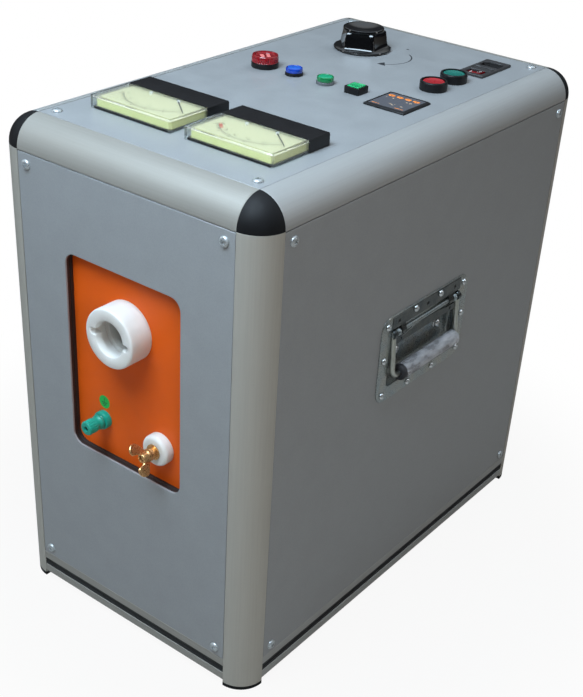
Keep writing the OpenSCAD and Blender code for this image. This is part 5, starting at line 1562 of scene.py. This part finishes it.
class TESTER_OT_inlet(bpy.types.Operator):
    """Build the mains inlet with its switch and fuse drawer"""

    bl_idname = "tester.inlet"
    bl_label = "Mains inlet"

    def execute(self, context):
        place = on_top(INLET_X, INLET_Y)
        rocker_y, drawer_y, mid_z, floor_z = -18.5, -3.6, -17, -34
        holes = [
            rounded(19.6, 13.2, 0.6, 0, rocker_y, 2), rounded(23.6, 8, 0.4, 0, drawer_y, 2),
            [(-12.1, 6.7), (12.1, 6.7), (12.1, 18.2), (7.3, 23.3), (-7.3, 23.3), (-12.1, 18.2)],
        ]
        shell = rounded(26.6, 56, 1, steps=3)
        face = plate(rounded(30.4, 61, 1.4, steps=4), holes, 0, 2.6, 0.8)
        body = plate(shell, holes, mid_z, 0.2, 0)
        floor = plate(shell, (), floor_z, mid_z, 0, 0.4)
        add_piece("inlet_body", joined(face, body, floor), place, "inlet", ["inlet_housing"])

        half, steps = 8.6, 14
        hollow = []
        for k in range(steps + 1):
            x = 2 * half * k / steps - half
            hollow.append((x, 4.4 + 1.4 * (abs(x) / half) ** 1.6))
        section = [(-half, 3.0), (-5.4, -3.0), (5.4, -3.0), (half, 3.0)] + hollow[::-1]
        rocker = plate(section, (), -6.2, 6.2, 0.4, 0.4)
        tilted = Matrix.Translation((0, rocker_y, -4.2)) @ turned(-9, "Y")
        add_piece(
            "inlet_rocker", placed_by(tilted @ turned(90, "X"), rocker), place, "rocker", ["rocker_switch"],
            body="rocker",
        )
        bar = plate(rounded(0.9, 5.2, 0.3, -5.2, 0, 2), (), 0, 0.06, 0)
        ring = plate(disc(2.5, 5.0), [disc(1.75, 5.0)], 0, 0.06, 0)
        signs = joined(
            moved(bar, -0.2, 0, 5.02, turned(9.5, "Y")), moved(ring, 0.2, 0, 5.02, turned(-9.5, "Y")),
        )
        add_piece("rocker_marks", placed_by(tilted, signs), place, "peg", body="rocker")

        drawer = plate(rounded(22.6, 7.2, 0.5, 0, drawer_y, 2), (), -25, 2.2, 0.3)
        notch = plate(rounded(8, 1.2, 0.4, 0, -0.6, 2), (), 2.2, 2.9, 0.2)
        groove = plate(rounded(15, 0.5, 0.2, 0, -5.2, 2), (), 2.2, 2.35, 0)
        add_piece("drawer_front", joined(drawer, notch, groove), place, "inlet", ["fuse_drawer"], body="drawer")
        spots = ((-7, 13), (7, 13), (0, 17))
        pins = [plate(rounded(2, 4, 0.4, x, y, 3), (), mid_z, -4.5, 0.4) for x, y in spots]
        tabs = [plate(rounded(0.8, 4, 0.2, x, y, 2), (), -42, floor_z, 0) for x, y in spots]
        add_piece("inlet_blades", joined(*pins, *tabs), place, "nickel", ["inlet_pins"])
        return {"FINISHED"}


def soft_min(a, b, k):
    """The smaller of two numbers, rounded off where they differ by less than k."""
    h = max(k - abs(a - b), 0) / k
    return min(a, b) - h * h * k / 4


def knob_outline(height):
    """The knob's radius for each angle at a height: five lobes, and nearly flat sides between them."""
    lobes, first, flat_r = 5, math.radians(6), 150.0
    part = (height - 4.0) / 16.0
    rib, core = 28.0 - 3.0 * part, 22.8 - 3.2 * part
    c = core + flat_r

    def radius(angle):
        a = (angle - first + math.pi / lobes) % (math.tau / lobes) - math.pi / lobes
        root = max(c * c * math.cos(a) ** 2 - (c * c - flat_r * flat_r), 0.0)
        return soft_min(rib, c * math.cos(a) - math.sqrt(root), 1.0)
    return radius


class TESTER_OT_knob(bpy.types.Operator):
    """Build the lobed knob and the arrow printed beside it"""

    bl_idname = "tester.knob"
    bl_label = "Knob"

    def execute(self, context):
        foot, top = knob_outline(4.0), knob_outline(20.0)
        rows = [
            (0, 0.8), (31.0, 0.8), (31.6, 1.2), (31.8, 1.9), (31.5, 2.6), (30.4, 3.2),
            (lambda a: min(foot(a) + 1.6, 30.0), 3.7), (wider(knob_outline(4.2), 0.6), 4.1),
            (wider(knob_outline(4.6), 0.15), 4.7),
        ]
        rows += [(knob_outline(z), z) for z in (5.4, 8.0, 11.5, 15.0, 18.2)]
        rows += [
            (wider(knob_outline(19.4), -0.2), 19.5), (lambda a: min(top(a) - 0.9, 24.2), 20.3),
            (lambda a: max(min(top(a) - 2.2, 22.6), 21.0), 20.7), (22.2, 21.0), (22.5, 21.4), (22.5, 22.9),
            (22.2, 23.6), (21.4, 24), (19.6, 24), (18.6, 23.8),
        ]
        # The hollow in the top is part of a ball
        ball_r, low, steps = 52.2, 20.85, 9
        for k in range(1, steps):
            r = 17.8 * (1 - k / steps)
            rows.append((r, low + ball_r - math.sqrt(ball_r ** 2 - r * r)))
        rows.append((0, 20.8))
        place = on_top(KNOB_X, KNOB_Y)
        add_piece("grip_knob", spin(rows, 240), place, "knob", ["voltage_knob"], body="knob", smooth=24)

        # A turning arrow of thin ink that grows thinner along its bow, its head, and a short dash behind it
        ink = 0.05
        steps = 36
        bow = arc(31.0, 57, -52, steps, -15.3, 146.0)
        arrow = [
            ribbon(bow, [1.4 - 0.5 * k / steps for k in range(steps + 1)], 0, ink),
            plate([(-0.9, 127.6), (-3.8, 117.4), (7.2, 117.0)], (), 0, ink, 0),
            plate(rounded(3.2, 1.8, 0.4, -11.0, 188.0, 2), (), 0, ink, 0),
        ]
        add_piece("printed_arrow", joined(*arrow), on_top(), "ink")
        return {"FINISHED"}


# The camera, solved from the cabinet's edges: its place from the front's foot, its axes to the right, up and
# back, and the shift that frames the object as the photograph does
CAMERA_AT = (0.712349, -0.702716, 0.908756)
CAMERA_AXES = (
    (0.7846778, 0.6177958, 0.0510790), (-0.3652981, 0.3942522, 0.8432808), (0.5008373, -0.6803628, 0.5350406),
)
CAMERA_SHIFT = (0.0041, 0.0954)
AIM = Vector((0, 0, 0.4))


class TESTER_OT_stage(bpy.types.Operator):
    """Set the floor, the lights and the camera"""

    bl_idname = "tester.stage"
    bl_label = "Stage"

    def execute(self, context):
        scene = bpy.context.scene
        self.floor(scene)
        self.sky(scene)
        self.lamps(scene)
        self.camera(scene)
        scene.view_settings.view_transform = "Standard"
        return {"FINISHED"}

    def floor(self, scene):
        """A pale floor that keeps the object's shadow, and turns white away from it."""
        reach = 12
        corners = [(-reach, -reach), (reach, -reach), (reach, reach), (-reach, reach)]
        mesh = bpy.data.meshes.new("floor")
        mesh.from_pydata(level(corners, 0), [], [range(4)])
        floor = bpy.data.objects.new("floor", mesh)
        scene.collection.objects.link(floor)
        finish, tree, place = start_material("pale_floor")
        far = add_node(tree, "ShaderNodeVectorMath", {"operation": "LENGTH"}, {0: place})
        fade = add_node(
            tree, "ShaderNodeMapRange",
            {
                "From Min": 0.3, "From Max": 0.6, "To Min": 0.92, "To Max": 1.0,
                "interpolation_type": "SMOOTHSTEP",
            },
            {"Value": far.outputs["Value"]},
        )
        rays = add_node(tree, "ShaderNodeLightPath")
        factor = add_node(
            tree, "ShaderNodeMath", {"operation": "MULTIPLY"},
            {0: fade.outputs["Result"], 1: rays.outputs["Is Camera Ray"]},
        )
        grit = grain(tree, place, 30, 2)
        pale = add_node(
            tree, "ShaderNodeBsdfPrincipled", {"Roughness": 0.9, "Specular IOR Level": 0.1},
            {"Base Color": blended(tree, grit, (0.38, 0.36, 0.335, 1), (0.4, 0.38, 0.355, 1))},
        )
        glow = add_node(tree, "ShaderNodeEmission", {"Color": (1, 1, 1, 1), "Strength": 1.0})
        mixed = add_node(
            tree, "ShaderNodeMixShader", None, {0: factor.outputs[0], 1: pale.outputs[0], 2: glow.outputs[0]},
        )
        end_material(tree, mixed.outputs[0])
        mesh.materials.append(finish)

    def sky(self, scene):
        """White to the camera, a soft warm light on surfaces, and a graded dome in what is glossy."""
        world = bpy.data.worlds.new("studio")
        scene.world = world
        world.use_nodes = True
        tree = world.node_tree
        tree.nodes.clear()
        rays = add_node(tree, "ShaderNodeLightPath")
        seen = add_node(
            tree, "ShaderNodeMath", {"operation": "MAXIMUM"},
            {0: rays.outputs["Is Camera Ray"], 1: rays.outputs["Is Transmission Ray"]},
        )
        soft = add_node(
            tree, "ShaderNodeBackground", {"Color": (1.0, 0.95, 0.9, 1), "Strength": scene.tester_stage.sky},
        )
        way = add_node(tree, "ShaderNodeTexCoord").outputs["Generated"]
        height = add_node(tree, "ShaderNodeSeparateXYZ", None, {"Vector": way}).outputs["Z"]
        dome = add_node(tree, "ShaderNodeValToRGB", links={"Fac": height})
        elements = dome.color_ramp.elements
        elements[0].position, elements[0].color = 0.0, (0.02, 0.02, 0.025, 1)
        elements[1].position, elements[1].color = 0.95, (0.85, 1.0, 1.15, 1)
        elements.new(0.35).color = (0.05, 0.055, 0.06, 1)
        elements.new(0.5).color = (0.4, 0.42, 0.43, 1)
        gloss = add_node(tree, "ShaderNodeBackground", {"Strength": 1.0}, {"Color": dome.outputs["Color"]})
        white = add_node(tree, "ShaderNodeBackground", {"Color": (1, 1, 1, 1), "Strength": 1.0})
        shiny = add_node(
            tree, "ShaderNodeMixShader", None,
            {0: rays.outputs["Is Glossy Ray"], 1: soft.outputs[0], 2: gloss.outputs[0]},
        )
        mixed = add_node(
            tree, "ShaderNodeMixShader", None, {0: seen.outputs[0], 1: shiny.outputs[0], 2: white.outputs[0]},
        )
        add_node(tree, "ShaderNodeOutputWorld", links={"Surface": mixed.outputs[0]})

    def lamps(self, scene):
        """Soft round lights over the front, the rear and the side, and two strips that only gloss shows."""
        stage = scene.tester_stage
        for name, spot, size, watts, tint, diffuse, glossy in (
            ("key_light", (0.0, -0.7, 1.45), 0.8, stage.key_watts, (0.68, 0.85, 1.0), True, True),
            ("rear_light", (0.1, 1.1, 1.5), 1.0, stage.fill_watts, (0.75, 0.88, 1.0), True, False),
            ("side_light", (1.2, -0.9, 0.9), 0.7, 3.9, (1.0, 0.93, 0.86), True, False),
            ("left_strip", (-1.2, -0.9, 0.9), 0.16, 2.0, (1.0, 1.0, 1.0), False, True),
            ("right_strip", (1.0, 0.6, 0.9), 0.12, 1.5, (1.0, 1.0, 1.0), False, True),
        ):
            data = bpy.data.lights.new(name, "AREA")
            data.energy = watts
            data.color = tint
            data.shape = "DISK" if diffuse else "RECTANGLE"
            data.size = size
            if not diffuse:
                data.size_y = 1.1
            lamp = bpy.data.objects.new(name, data)
            lamp.location = spot
            lamp.visible_diffuse, lamp.visible_glossy = diffuse, glossy
            lamp.visible_transmission = diffuse and glossy
            lamp.rotation_euler = (AIM - Vector(spot)).to_track_quat("-Z", "Y").to_euler()
            scene.collection.objects.link(lamp)

    def camera(self, scene):
        """The camera at the photograph's viewing angle."""
        data = bpy.data.cameras.new("camera")
        camera = bpy.data.objects.new("camera", data)
        data.lens = scene.tester_stage.lens
        data.sensor_width = 36
        data.shift_x, data.shift_y = CAMERA_SHIFT
        data.clip_start, data.clip_end = 0.01, 60
        x, y, z = CAMERA_AT
        foot = Matrix.Translation((x, (MIDDLE_Y - HALF_D) * MM + y, z))
        camera.matrix_world = foot @ Matrix(CAMERA_AXES).transposed().to_4x4()
        scene.collection.objects.link(camera)
        scene.camera = camera


STEPS = (
    TESTER_OT_materials, TESTER_OT_inner_finishes, TESTER_OT_frame, TESTER_OT_panels, TESTER_OT_fasteners,
    TESTER_OT_bay, TESTER_OT_handles, TESTER_OT_meters, TESTER_OT_lamps, TESTER_OT_timer, TESTER_OT_inlet,
    TESTER_OT_knob, TESTER_OT_stage,
)


class TESTER_PT_sidebar(bpy.types.Panel):
    """Lists the steps and the settings of the tester"""

    bl_idname = "TESTER_PT_sidebar"
    bl_label = "Cable tester"
    bl_space_type = "VIEW_3D"
    bl_region_type = "UI"
    bl_category = "Tester"

    def draw(self, context):
        for step in STEPS:
            self.layout.operator(step.bl_idname)
        for group in (context.scene.tester_colours, context.scene.tester_sizes, context.scene.tester_stage):
            for key in group.__annotations__:
                self.layout.prop(group, key)


GROUPS = (TesterColours, TesterSizes, TesterStage)


def register():
    """Adds the classes and the scene's settings."""
    for item in GROUPS + STEPS + (TESTER_PT_sidebar,):
        bpy.utils.register_class(item)
    bpy.types.Scene.tester_colours = bpy.props.PointerProperty(type=TesterColours)
    bpy.types.Scene.tester_sizes = bpy.props.PointerProperty(type=TesterSizes)
    bpy.types.Scene.tester_stage = bpy.props.PointerProperty(type=TesterStage)


def unregister():
    """Takes away what register adds."""
    del bpy.types.Scene.tester_stage
    del bpy.types.Scene.tester_sizes
    del bpy.types.Scene.tester_colours
    for item in reversed(GROUPS + STEPS + (TESTER_PT_sidebar,)):
        bpy.utils.unregister_class(item)


def main():
    """Runs every step."""
    register()
    for step in STEPS:
        section, name = step.bl_idname.split(".")
        getattr(getattr(bpy.ops, section), name)()


if __name__ == "__main__":
    main()
